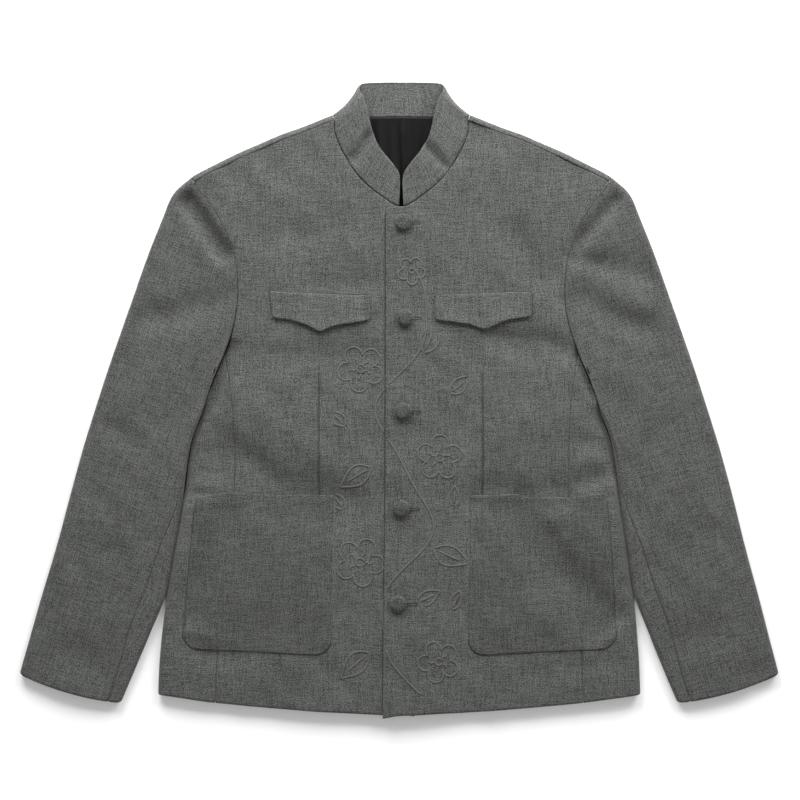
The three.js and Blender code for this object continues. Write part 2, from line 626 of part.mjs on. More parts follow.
function addUnderSleeve(side) {
  const shares = flatShares(SLEEVE_WRAP + SEAM_GAP).reverse();
  const rows = sleeveRows().map((v) => {
    const section = sleeveSection(v);
    const { arc, half, seam } = section;
    const start = half + arc.outer + SLEEVE_WRAP + SEAM_GAP;
    const end = 2 * half + seam - FOLD_SEAM_GAP;
    const fold = 2 * half - arc.inner;
    const stops = [
      start,
      ...shares.map((share) => lerp(fold, start, share)),
      ...steps(fold, 2 * half, 3).slice(0, -1),
      ...steps(2 * half, end, 3),
    ];
    return stops.map((around) => {
      const past = around - 2 * half;
      return onSleeve(side, section, past > 0 ? past : around);
    });
  });
  addPiece(`under_sleeve_${sideName(side)}`, wallGeometry(rows, CLOTH_WALL, -side), WOOL);
}

// ---- Collar ---------------------------------------------------------------------------
/** One generator of the collar, from its foot to its free edge. */
function generator(side, { foot, edge, waist }) {
  return steps(0, 1, 4).map((t) => {
    const rise = 4 * t * (1 - t);
    const x = lerp(foot.x, edge.x, t) - waist * rise;
    const y = lerp(foot.y, edge.y, t) - waist * rise * WAIST_DROP;
    return placed(side, x, y, lerp(foot.z, edge.z, t));
  });
}

function collarHalf(side) {
  const inwards = (row) => ({ x: row.footX - SEAM_GAP, y: row.footY + SEAM_GAP });
  const lines = COLLAR.map((row) => {
    const foot = inwards(row);
    foot.z = onFront(side, foot.x, foot.y).z;
    const edgeZ = row.edgeZ + foot.z - SHOULDER_LOFT;
    return { foot, edge: { x: row.edgeX, y: row.edgeY, z: edgeZ }, waist: row.waist };
  });
  const normal = shoulderNormal(0);
  const { footX, footY, edgeX, edgeReach, edgeFromY, edgeToY, waist } = COLLAR_FOLD;
  const half = COLLAR_FOLD.edgeZ / 2;
  const fold = steps(60, -90, 6).map((degrees, i, { length }) => {
    const angle = degrees * (Math.PI / 180);
    const reach = Math.cos(angle);
    const out = SHOULDER_RADIUS * reach;
    return {
      foot: {
        x: footX + normal.x * out - 2 * SEAM_GAP,
        y: footY + normal.y * out + SEAM_GAP,
        z: SHOULDER_RADIUS * (1 + Math.sin(angle)),
      },
      edge: {
        x: edgeX + edgeReach * reach,
        y: lerp(edgeFromY, edgeToY, Math.sin((i / (length - 1)) * (Math.PI / 2))),
        z: half * (1 + Math.sin(angle)),
      },
      waist,
    };
  });
  const back = COLLAR_BACK.map((row) => ({
    foot: { ...inwards(row), z: 0 },
    edge: { x: row.edgeX, y: row.edgeY, z: 0 },
    waist: row.waist,
  }));
  back.at(-1).foot.x = 0;
  return [...lines, ...fold, ...back].map((line) => generator(side, line));
}

function addCollar() {
  const left = collarHalf(1);
  const right = collarHalf(-1);
  const around = [...left, ...right.slice(0, -1).reverse()];
  addPiece('collar', wallGeometry(around, COLLAR_WALL, -1), WOOL);
}

// ---- What lies on the fronts ---------------------------------------------------------------
function addFlap(side) {
  const f = FLAP;
  const lower = through(FLAP_EDGE);
  const rows = steps(0, 1, 4).map((v) => steps(0, 1, 12).map((u) => {
    const bottom = lower(u);
    const top = new THREE.Vector2(lerp(f.innerX, f.outerX, u), lerp(f.topInnerY, f.topOuterY, u));
    const { x, y } = bottom.lerp(top, v);
    return onFront(side, x, y, LAID_GAP + PATCH_WALL + f.lift * (1 - v) ** 2);
  }));
  addPiece(`flap_${sideName(side)}`, wallGeometry(rows, PATCH_WALL, side), WOOL);
}

function addPocket(side) {
  const p = POCKET;
  const outerX = (y) => lerp(p.topOuterX, p.bottomOuterX,
    ((p.topY - y) / (p.topY - p.bottomY)) ** p.sidePower);
  const cornerInset = (y) => edgeDrop(y - p.bottomY, p.corner);
  const vs = [...steps(0, p.corner, 3), ...steps(p.corner, p.topY - p.bottomY, 8).slice(1)];
  const rows = vs.map((up) => steps(0, 1, 10).map((u) => {
    const y = p.bottomY + up;
    const x = lerp(p.innerX + cornerInset(y), outerX(y) - cornerInset(y), u);
    return onFront(side, x, y, LAID_GAP + PATCH_WALL);
  }));
  addPiece(`pocket_${sideName(side)}`, wallGeometry(rows, PATCH_WALL, side), WOOL);
}

function addButtons() {
  const b = BUTTON;
  const dome = steps(0, 90, 3).map((degrees) => {
    const angle = degrees * (Math.PI / 180);
    return new THREE.Vector2(b.radius * Math.cos(angle),
      b.brim + (b.height - b.brim) * Math.sin(angle));
  });
  dome.at(-1).x = 0;
  const profile = [new THREE.Vector2(0, 0), new THREE.Vector2(b.foot, 0), ...dome];
  BUTTONS.forEach(({ x, y }, i) => {
    const geometry = new THREE.LatheGeometry(profile, 14);
    geometry.rotateX(Math.PI / 2);
    geometry.translate(x, y, frontTop(1, x, y) + LAID_GAP);
    addPiece(`button_${i + 1}`, geometry, WOOL);
  });
}

function addLining() {
  const l = LINING;
  const floor = CLOTH_WALL + l.clearance + LINING_WALL;
  const topY = column(BACK_NECK, 'x', 'y');
  const rows = steps(0, 1, 4).map((v) => steps(-1, 1, 16).map((u) => {
    const half = lerp(l.halfBottom, l.halfTop, v);
    const x = Math.abs(u) * half;
    const y = lerp(l.bottomY, topY(x) - SEAM_GAP, v);
    const point = placed(Math.sign(u), x, y, floor);
    point.z += l.pleatDepth * Math.exp(-(((point.x - l.pleatX) / l.pleatWidth) ** 2));
    return point;
  }));
  addPiece('lining_back', wallGeometry(rows, LINING_WALL, 1), SATIN);
}

for (const side of [1, -1]) {
  addFront(side);
  addSide(side);
  addTopSleeve(side);
  addUnderSleeve(side);
  addFlap(side);
  addPocket(side);
}
addBack();
addCollar();
addButtons();
addLining();

export default jacket;
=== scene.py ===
"""A stand-collar wool jacket, buttoned up and laid flat on a pale floor.

Tables and fields are in millimetres, in the jacket's own plan: +X towards the
wearer's left, +Y towards the collar, +Z up off the floor. Meshes, finishes and
the studio are in metres. Half-plan tables give distances from the centre line,
and both halves use them.
"""
import logging
import math
from collections.abc import Callable, Sequence
from dataclasses import dataclass, field
from enum import Enum

import bmesh
import bpy
import numpy as np
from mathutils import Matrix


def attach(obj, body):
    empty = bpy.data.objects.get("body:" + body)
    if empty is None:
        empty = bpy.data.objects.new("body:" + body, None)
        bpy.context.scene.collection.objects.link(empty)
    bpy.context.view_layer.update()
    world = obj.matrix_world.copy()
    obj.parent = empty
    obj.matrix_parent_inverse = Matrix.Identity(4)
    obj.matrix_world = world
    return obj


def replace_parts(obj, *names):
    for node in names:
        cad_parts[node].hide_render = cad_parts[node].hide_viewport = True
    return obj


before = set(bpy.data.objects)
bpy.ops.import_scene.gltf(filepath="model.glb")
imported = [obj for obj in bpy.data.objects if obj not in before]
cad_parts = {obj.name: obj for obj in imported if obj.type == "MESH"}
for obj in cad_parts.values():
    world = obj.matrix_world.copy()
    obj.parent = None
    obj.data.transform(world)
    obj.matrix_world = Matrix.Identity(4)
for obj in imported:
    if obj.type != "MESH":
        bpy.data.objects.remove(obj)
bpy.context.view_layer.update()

LOG = logging.getLogger("jacket")
MM = 0.001
Array = np.ndarray
Colour = tuple[float, float, float]
Curve = Callable[[Array], Array]
Rows = tuple[tuple[float, ...], ...]

# ---- Cloth and its lie -------------------------------------------------------
CLOTH_WALL = 2.0
COLLAR_WALL = 2.2
PATCH_WALL = 1.6
LINING_WALL = 0.9
SEAM_GAP = 0.1
LAID_GAP = 0.45
CENTRE_SHIFT = 2.5
BODY_LOFT = 12.0
SHOULDER_LOFT = 14.0
FOLD_RADIUS = BODY_LOFT / 2
SHOULDER_RADIUS = SHOULDER_LOFT / 2
OVERLAP = 17.5
OVERLAP_RISE = CLOTH_WALL + LAID_GAP
OVERLAP_RAMP = (28.0, 66.0)
SLEEVE_WRAP = 25.0
HEM_LIFT_BACK = 3.0
SHOULDER_RISE = (120.0, 250.0)
CENTRE_SWING = (-330.0, -90.0)
# How cloth is rolled off towards a hem, a cuff and a shoulder seam: depth and reach.
HEM_ROLL = (1.1, 3.0)
CUFF_ROLL = (1.0, 3.0)
SHOULDER_ROLL = (0.35, 1.6)

# ---- Outlines (x, y) from the centre line ------------------------------------
HEM: Rows = (
    (-19, -365.1), (0, -362), (22, -361), (91, -357.5), (137, -354), (183, -350),
    (229, -345.5), (264, -341.5), (277, -338),
)
BODY_FOLD: Rows = (
    (277, -338), (274.5, -294), (268.5, -239), (263.5, -212), (255, -163), (248, -115),
    (243, -73), (238, -50), (231, -32), (227.5, -14), (224, 3),
)
SIDE_SEAM: Rows = (
    (211, -347), (208.5, -287), (201, -210), (195, -150), (192, -104), (192.5, -30),
    (194.5, -3), (198.5, 26), (203.5, 53),
)
BACK_SEAM: Rows = ((229, -344), (203.5, 53))
UNDERARM = (224.0, 3.0)
ARMHOLE: Rows = (
    (203.5, 53), (197, 70), (192, 88), (189, 105), (187.5, 128), (188.5, 147),
    (191.5, 164), (197, 181), (205, 201), (216, 220), (225, 231.5), (233.5, 241),
    (238.5, 249),
)
FRONT_CORNER = (-OVERLAP, 220.5)
SHOULDER: Rows = (
    (79.2, 327.2), (93.5, 321.5), (113.5, 313.5), (139.5, 304.3), (160, 295.4),
    (186, 284.2), (206, 274.3), (231.5, 261.5), (241.5, 255.4),
)
BACK_NECK: Rows = ((0, 326), (40, 325.2), (66, 323), (76.4, 320.8))
NECK_SIDE = BACK_NECK[-1]
FOLD_FOOT = BODY_FOLD[0]
SEAM_FOOT, SEAM_HEAD = SIDE_SEAM[0], SIDE_SEAM[-1]
BACK_FOOT = BACK_SEAM[0]

# Sleeve sections from armhole to cuff: inner and outer folds in plan, the loft at
# each, and how far round from the inner fold the seam on top lies.
SLEEVE_COLUMNS = ("in_x", "in_y", "out_x", "out_y", "loft_in", "loft_out", "seam")
SLEEVE: Rows = (
    (224.4, 3, 241.5, 255.4, 12, 14, 3),
    (227.0, -6, 262, 236, 12, 14, 3),
    (230.2, -16, 275, 206, 12, 13.6, 3),
    (234.6, -27, 291, 166, 12, 13.2, 3),
    (239.6, -40, 306.5, 122, 12, 12.8, 3),
    (243.6, -56, 322, 78, 12, 12.4, 3),
    (247.2, -78, 336.5, 36, 12, 12, 3),
    (250.6, -106, 350.5, -7, 11.8, 11.8, 5),
    (255.6, -140, 366, -57, 11.6, 11.6, 12),
    (261.8, -180, 381, -112, 11.4, 11.4, 21),
    (269.8, -225, 396, -170, 11.2, 11.2, 27),
    (286, -267, 412, -226, 11, 11, 27),
    (302.5, -307, 425, -274, 10.8, 10.8, 22),
    (319.5, -347, 436, -314, 10.4, 10.4, 18),
)
CUFF_DIP = 6.0

# Collar generators from the front end to the side fold: foot x, y, free edge x, y, z
# and how far the middle bends towards the centre line.
COLLAR: Rows = (
    (3.7, 222.4, 1.4, 250, 15, 0), (10, 225, 2.4, 258.5, 15.4, 0),
    (20, 231.6, 7.4, 267, 16, 0), (31, 239.6, 16.5, 278, 17, 0),
    (43.5, 250.5, 25, 289, 18, 0), (55.8, 265.5, 31.5, 301, 19.4, 0),
    (65.5, 281.5, 35, 313, 20.6, 0), (72.3, 295, 37.6, 325, 21.6, 0.5),
    (76, 307, 40.4, 336, 22, 1.3), (76.6, 317, 43.2, 346, 21, 2.3),
)
COLLAR_BACK: Rows = (
    (66, 323, 38, 364.4, 2), (40, 325.2, 26, 364.8, 1), (20, 325.8, 13, 365, 0),
    (0, 326, 0, 365, 0),
)
BUTTONS: Rows = ((4.4, 203.6), (6.7, 94.3), (4.4, -12.7), (2.1, -124.2), (-1.4, -233.5))

# Where each panel is cut from the length of cloth, so that no two weaves line up.
CUT_FROM = {
    "front_left": (0.0, 0.0), "front_right": (37.0, 0.0), "side": (5.0, 0.0),
    "back": (61.0, 0.0), "sleeve": (13.0, 0.0), "flap": (71.0, 43.0), "pocket": (29.0, 17.0),
}


class Side(Enum):
    """Halves of the jacket, by the wearer's own sides."""

    LEFT = 1
    RIGHT = -1

    @property
    def label(self) -> str:
        """The half's name in the names of its pieces."""
        return self.name.lower()


# ---- Small tools ---------------------------------------------------------------
def smooth(value: Array | float, low: float, high: float) -> Array:
    """Ease from 0 at low to 1 at high."""
    t = np.clip((np.asarray(value, float) - low) / (high - low), 0, 1)
    return t * t * (3 - 2 * t)


def mix(a: Array | float, b: Array | float, t: Array | float) -> Array:
    """Blend linearly from a to b."""
    return np.asarray(a) * (1 - t) + np.asarray(b) * t


def plan(x: Array | float, y: Array | float) -> Array:
    """Stack x and y into points."""
    return np.stack(np.broadcast_arrays(x, y), -1).astype(float)


def unit(vectors: Array) -> Array:
    """Scale vectors to length 1, leaving zero ones alone."""
    length = np.linalg.norm(vectors, axis=-1, keepdims=True)
    return vectors / np.where(length < 1e-9, 1, length)


def grid_steps(start: float, end: float, step: float) -> Array:
    """Evenly spaced values from start to end, about a step apart."""
    return np.linspace(start, end, max(2, round(abs(end - start) / step) + 1))


def merged(*runs: Array) -> Array:
    """Sorted values of several runs, without near repeats."""
    values = np.sort(np.concatenate(runs))
    return values[np.concatenate([[True], np.diff(values) > 1e-4])]


def run_of(path: Array) -> Array:
    """Length run along a path, at each of its points."""
    return np.concatenate([[0], np.cumsum(np.linalg.norm(np.diff(path, axis=0), axis=1))])


def spaced(path: Array, step: float = 1.5) -> Array:
    """Even steps along a plan path."""
    run = run_of(path)
    at = np.linspace(0, run[-1], max(4, round(run[-1] / step)))
    return plan(np.interp(at, run, path[:, 0]), np.interp(at, run, path[:, 1]))


@dataclass(frozen=True)
class Table:
    """A smooth curve through rows, one column as a function of another."""

    at: tuple[float, ...]
    value: tuple[float, ...]

    def __call__(self, where: Array | float) -> Array:
        """Read the curve.

        Args:
            where: places to read it at.

        Returns:
            The values there, held at the ends.
        """
        x = np.array(self.at, float)
        y = np.array(self.value, float)
        if x[0] > x[-1]:
            x, y = x[::-1], y[::-1]
        last = len(x) - 1
        before = np.maximum(np.arange(last + 1) - 1, 0)
        after = np.minimum(np.arange(last + 1) + 1, last)
        slope = (y[after] - y[before]) / (x[after] - x[before])
        i = np.clip(np.searchsorted(x, where, side="right") - 1, 0, last - 1)
        span, rise = x[i + 1] - x[i], y[i + 1] - y[i]
        t = np.clip((where - x[i]) / span, 0, 1)
        start, end = slope[i] * span - rise, rise - slope[i + 1] * span
        return y[i] + t * rise + t * (1 - t) * ((1 - t) * start + t * end)


def column(rows: Rows, by: int | None, of: int) -> Table:
    """One column of a table by another, or by row number."""
    at = range(len(rows)) if by is None else [row[by] for row in rows]
    return Table(tuple(at), tuple(row[of] for row in rows))


def through(rows: Sequence[Sequence[float]]) -> Curve:
    """A plan curve through points, read by its length from 0 to 1."""
    steps_between = 60
    points = np.array([row[:2] for row in rows], float)
    last = len(points) - 1
    t = np.linspace(0, last, steps_between * last + 1)
    i = np.minimum(t.astype(int), last - 1)
    w = (t - i)[:, None]
    p0, p1 = points[np.maximum(i - 1, 0)], points[i]
    p2, p3 = points[i + 1], points[np.minimum(i + 2, last)]
    p0 = np.where((i == 0)[:, None], p1, p0)
    v0, v1 = (p2 - p0) / 2, (p3 - p1) / 2
    cubic, square = 2 * p1 - 2 * p2 + v0 + v1, 3 * p2 - 3 * p1 - 2 * v0 - v1
    path = cubic * w**3 + square * w**2 + v0 * w + p1
    run = run_of(path)
    run /= run[-1]

    def read(s: Array) -> Array:
        """Points at s."""
        return plan(np.interp(s, run, path[:, 0]), np.interp(s, run, path[:, 1]))

    return read


def point_by_point(rows: Sequence[Sequence[float]]) -> Curve:
    """Runs between points, with an even share of 0 to 1 for each."""
    across, along = column(rows, None, 0), column(rows, None, 1)
    last = len(rows) - 1

    def read(t: Array) -> Array:
        """Points at t."""
        at = np.asarray(t) * last
        return plan(across(at), along(at))

    return read


def line_by(rows: Rows, start: float, end: float) -> Curve:
    """A plan curve with x from a table by y, from one height to another."""
    across = column(rows, 1, 0)

    def read(t: Array) -> Array:
        """Points at t."""
        y = mix(start, end, np.asarray(t, float))
        return plan(across(y), y)

    return read


def joined(first: Curve, second: Curve, share: float) -> Curve:
    """Two plan curves end to end; the first takes a share of the parameter."""

    def read(t: Array) -> Array:
        """Points at t."""
        t = np.asarray(t, float)
        early = first(np.clip(t / share, 0, 1))
        late = second(np.clip((t - share) / (1 - share), 0, 1))
        return np.where((t < share)[..., None], early, late)

    return read


def patch(bottom: Curve, top: Curve, near: Curve, far: Curve, us: Array, vs: Array,
          fade: float = 2.5) -> Array:
    """Fill a plan patch between four edges.

    Args:
        bottom: edge at v = 0.
        top: edge at v = 1.
        near: edge at u = 0.
        far: edge at u = 1.
        us: places across.
        vs: places up.
        fade: the power of u with which the far edge's bends die away across the patch.

    Returns:
        Points in rows, one row for each v.
    """
    u, v = us[None, :, None], vs[:, None, None]

    def bend(edge: Curve) -> Array:
        """How far an edge departs from its chord."""
        ends = edge(np.array([0.0, 1.0]))
        return (edge(vs) - mix(ends[0], ends[1], vs[:, None]))[:, None]

    flat = mix(bottom(us)[None], top(us)[None], v)
    return flat + bend(near) * (1 - u) + bend(far) * u**fade


def centre_x(y: Array) -> Array:
    """How far the centre line lies to +X at a height in plan."""
    return CENTRE_SHIFT * smooth(y, *CENTRE_SWING)


def placed(side: Side, x: Array, y: Array, z: Array | float) -> Array:
    """Put half-plan points on their side of the jacket."""
    z = np.broadcast_to(z, np.shape(x))
    return np.stack([side.value * np.asarray(x) + centre_x(y), np.asarray(y), z], -1)


# ---- Relief --------------------------------------------------------------------
@dataclass(frozen=True)
class Crease:
    """A soft trough along a path, or a ridge where the depth is negative.

    width is how wide it is on the path's left-hand side, and far on the right-hand side,
    where it is the same if not given. run_in is the share of the path over which each end
    comes in.
    """

    path: Rows
    depth: float
    width: float
    run_in: float = 0.35
    far: float | None = None

    def drop(self, x: Array, y: Array) -> Array:
        """How far the cloth has sunk at plan points."""
        best = np.full(np.shape(x), 1e9)
        along = np.zeros(np.shape(x))
        beyond = np.zeros(np.shape(x))
        done = 0.0
        for (ax, ay), (bx, by) in zip(self.path, self.path[1:]):
            length = math.hypot(bx - ax, by - ay)
            dx, dy = (bx - ax) / length, (by - ay) / length
            s = np.clip((x - ax) * dx + (y - ay) * dy, 0, length)
            off = np.hypot(x - ax - s * dx, y - ay - s * dy)
            near = off < best
            best = np.where(near, off, best)
            along = np.where(near, done + s, along)
            beyond = np.where(near, (x - ax) * dy - (y - ay) * dx, beyond)
            done += length
        run = self.run_in * done
        start = -run * 0.3
        taper = smooth(along, start, run) * smooth(done - along, start, run)
        wide = np.where(beyond > 0, self.far or self.width, self.width)
        return self.depth * taper * np.exp(-((best / wide) ** 2))


@dataclass(frozen=True)
class Swell:
    """Seeded low waves, for cloth that is never quite flat."""

    seed: int
    height: float
    shortest: float
    longest: float
    waves: int = 16

    def rise(self, x: Array, y: Array) -> Array:
        """Height of the waves at plan points."""
        draw = np.random.default_rng(self.seed)
        total = np.zeros(np.shape(x))
        for _ in range(self.waves):
            length = self.shortest * (self.longest / self.shortest) ** draw.random()
            turn, phase = draw.random(2) * 2 * math.pi
            k = 2 * math.pi / length
            total += np.cos(k * (x * math.cos(turn) + y * math.sin(turn)) + phase)
        return self.height * total / math.sqrt(self.waves / 2)


# The most that creases sink the top layer, over the body and at the shoulders.
DEEPEST = (8.4, 11.2)
FRONT_CREASES: tuple[Crease, ...] = (
    # right shoulder and sleeve
    Crease(((-256, 248), (-231, 211), (-211, 180), (-195, 160)), 16.0, 8.6, 0.10, 10),
    Crease(((-268, 238), (-236, 196), (-212, 164)), -1.8, 8),
    Crease(((-314, 90), (-252, 97), (-225, 109), (-191, 117)), 6.0, 16, 0.3, 17),
    Crease(((-404, -300), (-368, -292), (-330, -326)), 3.4, 20, 0.3),
    Crease(((-348, -14), (-312, -44), (-276, -64)), 1.3, 12),
    Crease(((-392, -168), (-352, -168), (-306, -196)), 1.2, 12),
    # left shoulder and sleeve
    Crease(((262, 246), (230, 208), (197, 168)), 5.8, 8.5, 0.15, 8),
    Crease(((193, 165), (214, 160), (240, 154)), 5.8, 9, 0.15),
    Crease(((222, 152), (262, 150), (306, 130)), 5.2, 20, 0.3, 12),
    Crease(((190, 128), (222, 107), (255, 90), (304, 78)), 6.8, 14, 0.2, 17),
    Crease(((216, 72), (262, 56), (314, 40)), 1.6, 14),
    Crease(((304, -286), (345, -272), (384, -266)), 3.0, 18, 0.3),
    Crease(((394, -322), (418, -310), (440, -308)), 2.4, 14),
    Crease(((340, -6), (305, -34), (272, -62)), 1.2, 12),
    Crease(((388, -160), (350, -150), (300, -176)), 1.1, 13),
    # chest
    Crease(((-150, 194), (-110, 184), (-70, 194)), 1.8, 14),
    Crease(((-98, 133), (-50, 130), (-16, 133)), 2.8, 14, 0.3, 12),
    Crease(((-90, 178), (-50, 172), (-18, 176)), -1.6, 14),
    Crease(((124, 214), (141, 176), (163, 147), (188, 138)), 4.8, 16, 0.28, 18),
    Crease(((-198, 58), (-150, 50), (-60, 52), (-18, 58)), 3.4, 14, 0.3, 24),
    Crease(((86, 72), (150, 68), (203, 55)), 5.4, 12, 0.22, 20),
    Crease(((-70, 222), (-44, 196), (-22, 160)), 1.6, 14),
    # waist
    Crease(((-238, -22), (-192, -68), (-142, -100), (-76, -120), (-18, -124)), 10.0, 22, 0.28, 36),
    Crease(((-228, 22), (-160, -16), (-110, -56), (-50, -78)), -2.4, 22),
    Crease(((66, -116), (150, -118), (208, -110)), 9.0, 24, 0.25, 14),
    Crease(((110, -36), (170, -20), (234, -16)), -2.2, 20),
    Crease(((196, -52), (222, -50), (248, -58)), 3.0, 11),
    Crease(((196, -101), (220, -92), (252, -82)), 4.6, 13, 0.2, 8),
    Crease(((-250, -60), (-226, -62), (-204, -57)), 1.7, 6),
    Crease(((-252, -86), (-228, -84), (-206, -88)), 1.8, 6),
    Crease(((-254, -108), (-230, -106), (-212, -110)), 1.5, 5),
    # pockets
    Crease(((-244, -108), (-160, -112), (-80, -112)), 1.8, 5, 0.1),
    Crease(((-182, -108), (-206, -160), (-232, -226), (-240, -268)), 8.0, 15, 0.15, 20),
    Crease(((128, -106), (153, -148), (184, -188), (222, -224), (254, -262)), 12.0, 17, 0.08, 32),
    Crease(((-268, -268), (-225, -292), (-150, -302)), 2.6, 14, 0.3),
    Crease(((120, -326), (190, -308), (262, -298)), 1.8, 12),
)
# The body alone sinks here, beside the sleeves' inner folds.
UNDERARMS: tuple[Crease, ...] = (
    Crease(((-196, 74), (-207, 44), (-218, 12), (-226, -14)), 15.0, 13.0, 0.18),
    Crease(((-216, 20), (-229, -24), (-242, -62), (-257, -124)), 13.5, 11.5, 0.26),
    Crease(((202, 62), (216, 24), (228, -2)), 10.0, 6.5, 0.22),
    Crease(((226, -4), (240, -38), (256, -96)), 12.0, 10.0, 0.26),
)
BACK_CREASES: tuple[Crease, ...] = (
    Crease(((-200, 190), (-120, 120), (-60, 30)), 1.6, 16),
    Crease(((190, 205), (130, 150), (96, 70)), 1.4, 15),
    Crease(((-160, -60), (-40, -80), (90, -70)), 1.5, 13),
    Crease(((150, -150), (60, -170), (-40, -150)), 1.3, 14),
    Crease(((-190, -240), (-120, -262), (-30, -250)), 1.2, 13),
)
CLOTH_SWELL = Swell(11, 0.55, 34, 140)
BACK_SWELL = Swell(23, 0.30, 40, 150)


def creased(x: Array, y: Array, creases: tuple[Crease, ...] = FRONT_CREASES) -> Array:
    """Depth of all the troughs at plan points, held to the deepest one may be."""
    total = sum(crease.drop(x, y) for crease in creases)
    deepest = mix(*DEEPEST, smooth(y, *SHOULDER_RISE))
    return np.where(total > 0, deepest * np.tanh(total / deepest), total)


def loft(y: Array) -> Array:
    """Height at which the top layer lies when it is smooth."""
    return mix(BODY_LOFT, SHOULDER_LOFT, smooth(y, *SHOULDER_RISE))


def body_top(x: Array, y: Array) -> Array:
    """Top of the body at plan points, away from its edges."""
    return loft(y) - creased(x, y, FRONT_CREASES + UNDERARMS) + CLOTH_SWELL.rise(x, y)


def front_top(side: Side, x: Array, y: Array) -> Array:
    """Top of a front: the wearer's left one rides over the other."""
    ride = 1 - smooth(x, *OVERLAP_RAMP) if side is Side.LEFT else 0.0
    return body_top(x, y) + OVERLAP_RISE * ride


# ---- Finishes --------------------------------------------------------------------
class Nodes:
    """A node tree being wired up."""

    def __init__(self, tree: bpy.types.NodeTree) -> None:
        """Take a tree and clear it."""
        self.tree = tree
        tree.nodes.clear()

    def add(self, kind: str, inputs: dict | None = None, **settings: object) -> bpy.types.Node:
        """Make a node.

        Args:
            kind: the node's type, without the ShaderNode prefix.
            inputs: socket values or output sockets to link, by name or number.
            settings: the node's own settings.

        Returns:
            The node.
        """
        prefix = "" if kind.startswith("Node") else "ShaderNode"
        node = self.tree.nodes.new(prefix + kind)
        for name, value in settings.items():
            setattr(node, name, value)
        for name, value in (inputs or {}).items():
            if isinstance(value, bpy.types.NodeSocket):
                self.tree.links.new(value, node.inputs[name])
            else:
                node.inputs[name].default_value = value
        return node

    def math(self, operation: str, a: object, b: object = 0.0,
             c: object = 0.0) -> bpy.types.NodeSocket:
        """A Math node's output."""
        return self.add("Math", {0: a, 1: b, 2: c}, operation=operation).outputs[0]


def new_material(name: str) -> tuple[bpy.types.Material, Nodes]:
    """Start a material, with its node tree empty."""
    made = bpy.data.materials.new(name)
    made.use_nodes = True
    return made, Nodes(made.node_tree)


def new_group(name: str, inputs: dict[str, str], outputs: dict[str, str]) -> tuple:
    """Start a shader node group with named sockets.

    Args:
        name: the group's name.
        inputs: socket type for each input.
        outputs: socket type for each output.

    Returns:
        The group, its nodes and its input node.
    """
    tree = bpy.data.node_groups.new(name, "ShaderNodeTree")
    for label, kind in inputs.items():
        tree.interface.new_socket(name=label, in_out="INPUT", socket_type="NodeSocket" + kind)
    for label, kind in outputs.items():
        tree.interface.new_socket(name=label, in_out="OUTPUT", socket_type="NodeSocket" + kind)
    nodes = Nodes(tree)
    return tree, nodes, nodes.add("NodeGroupInput").outputs


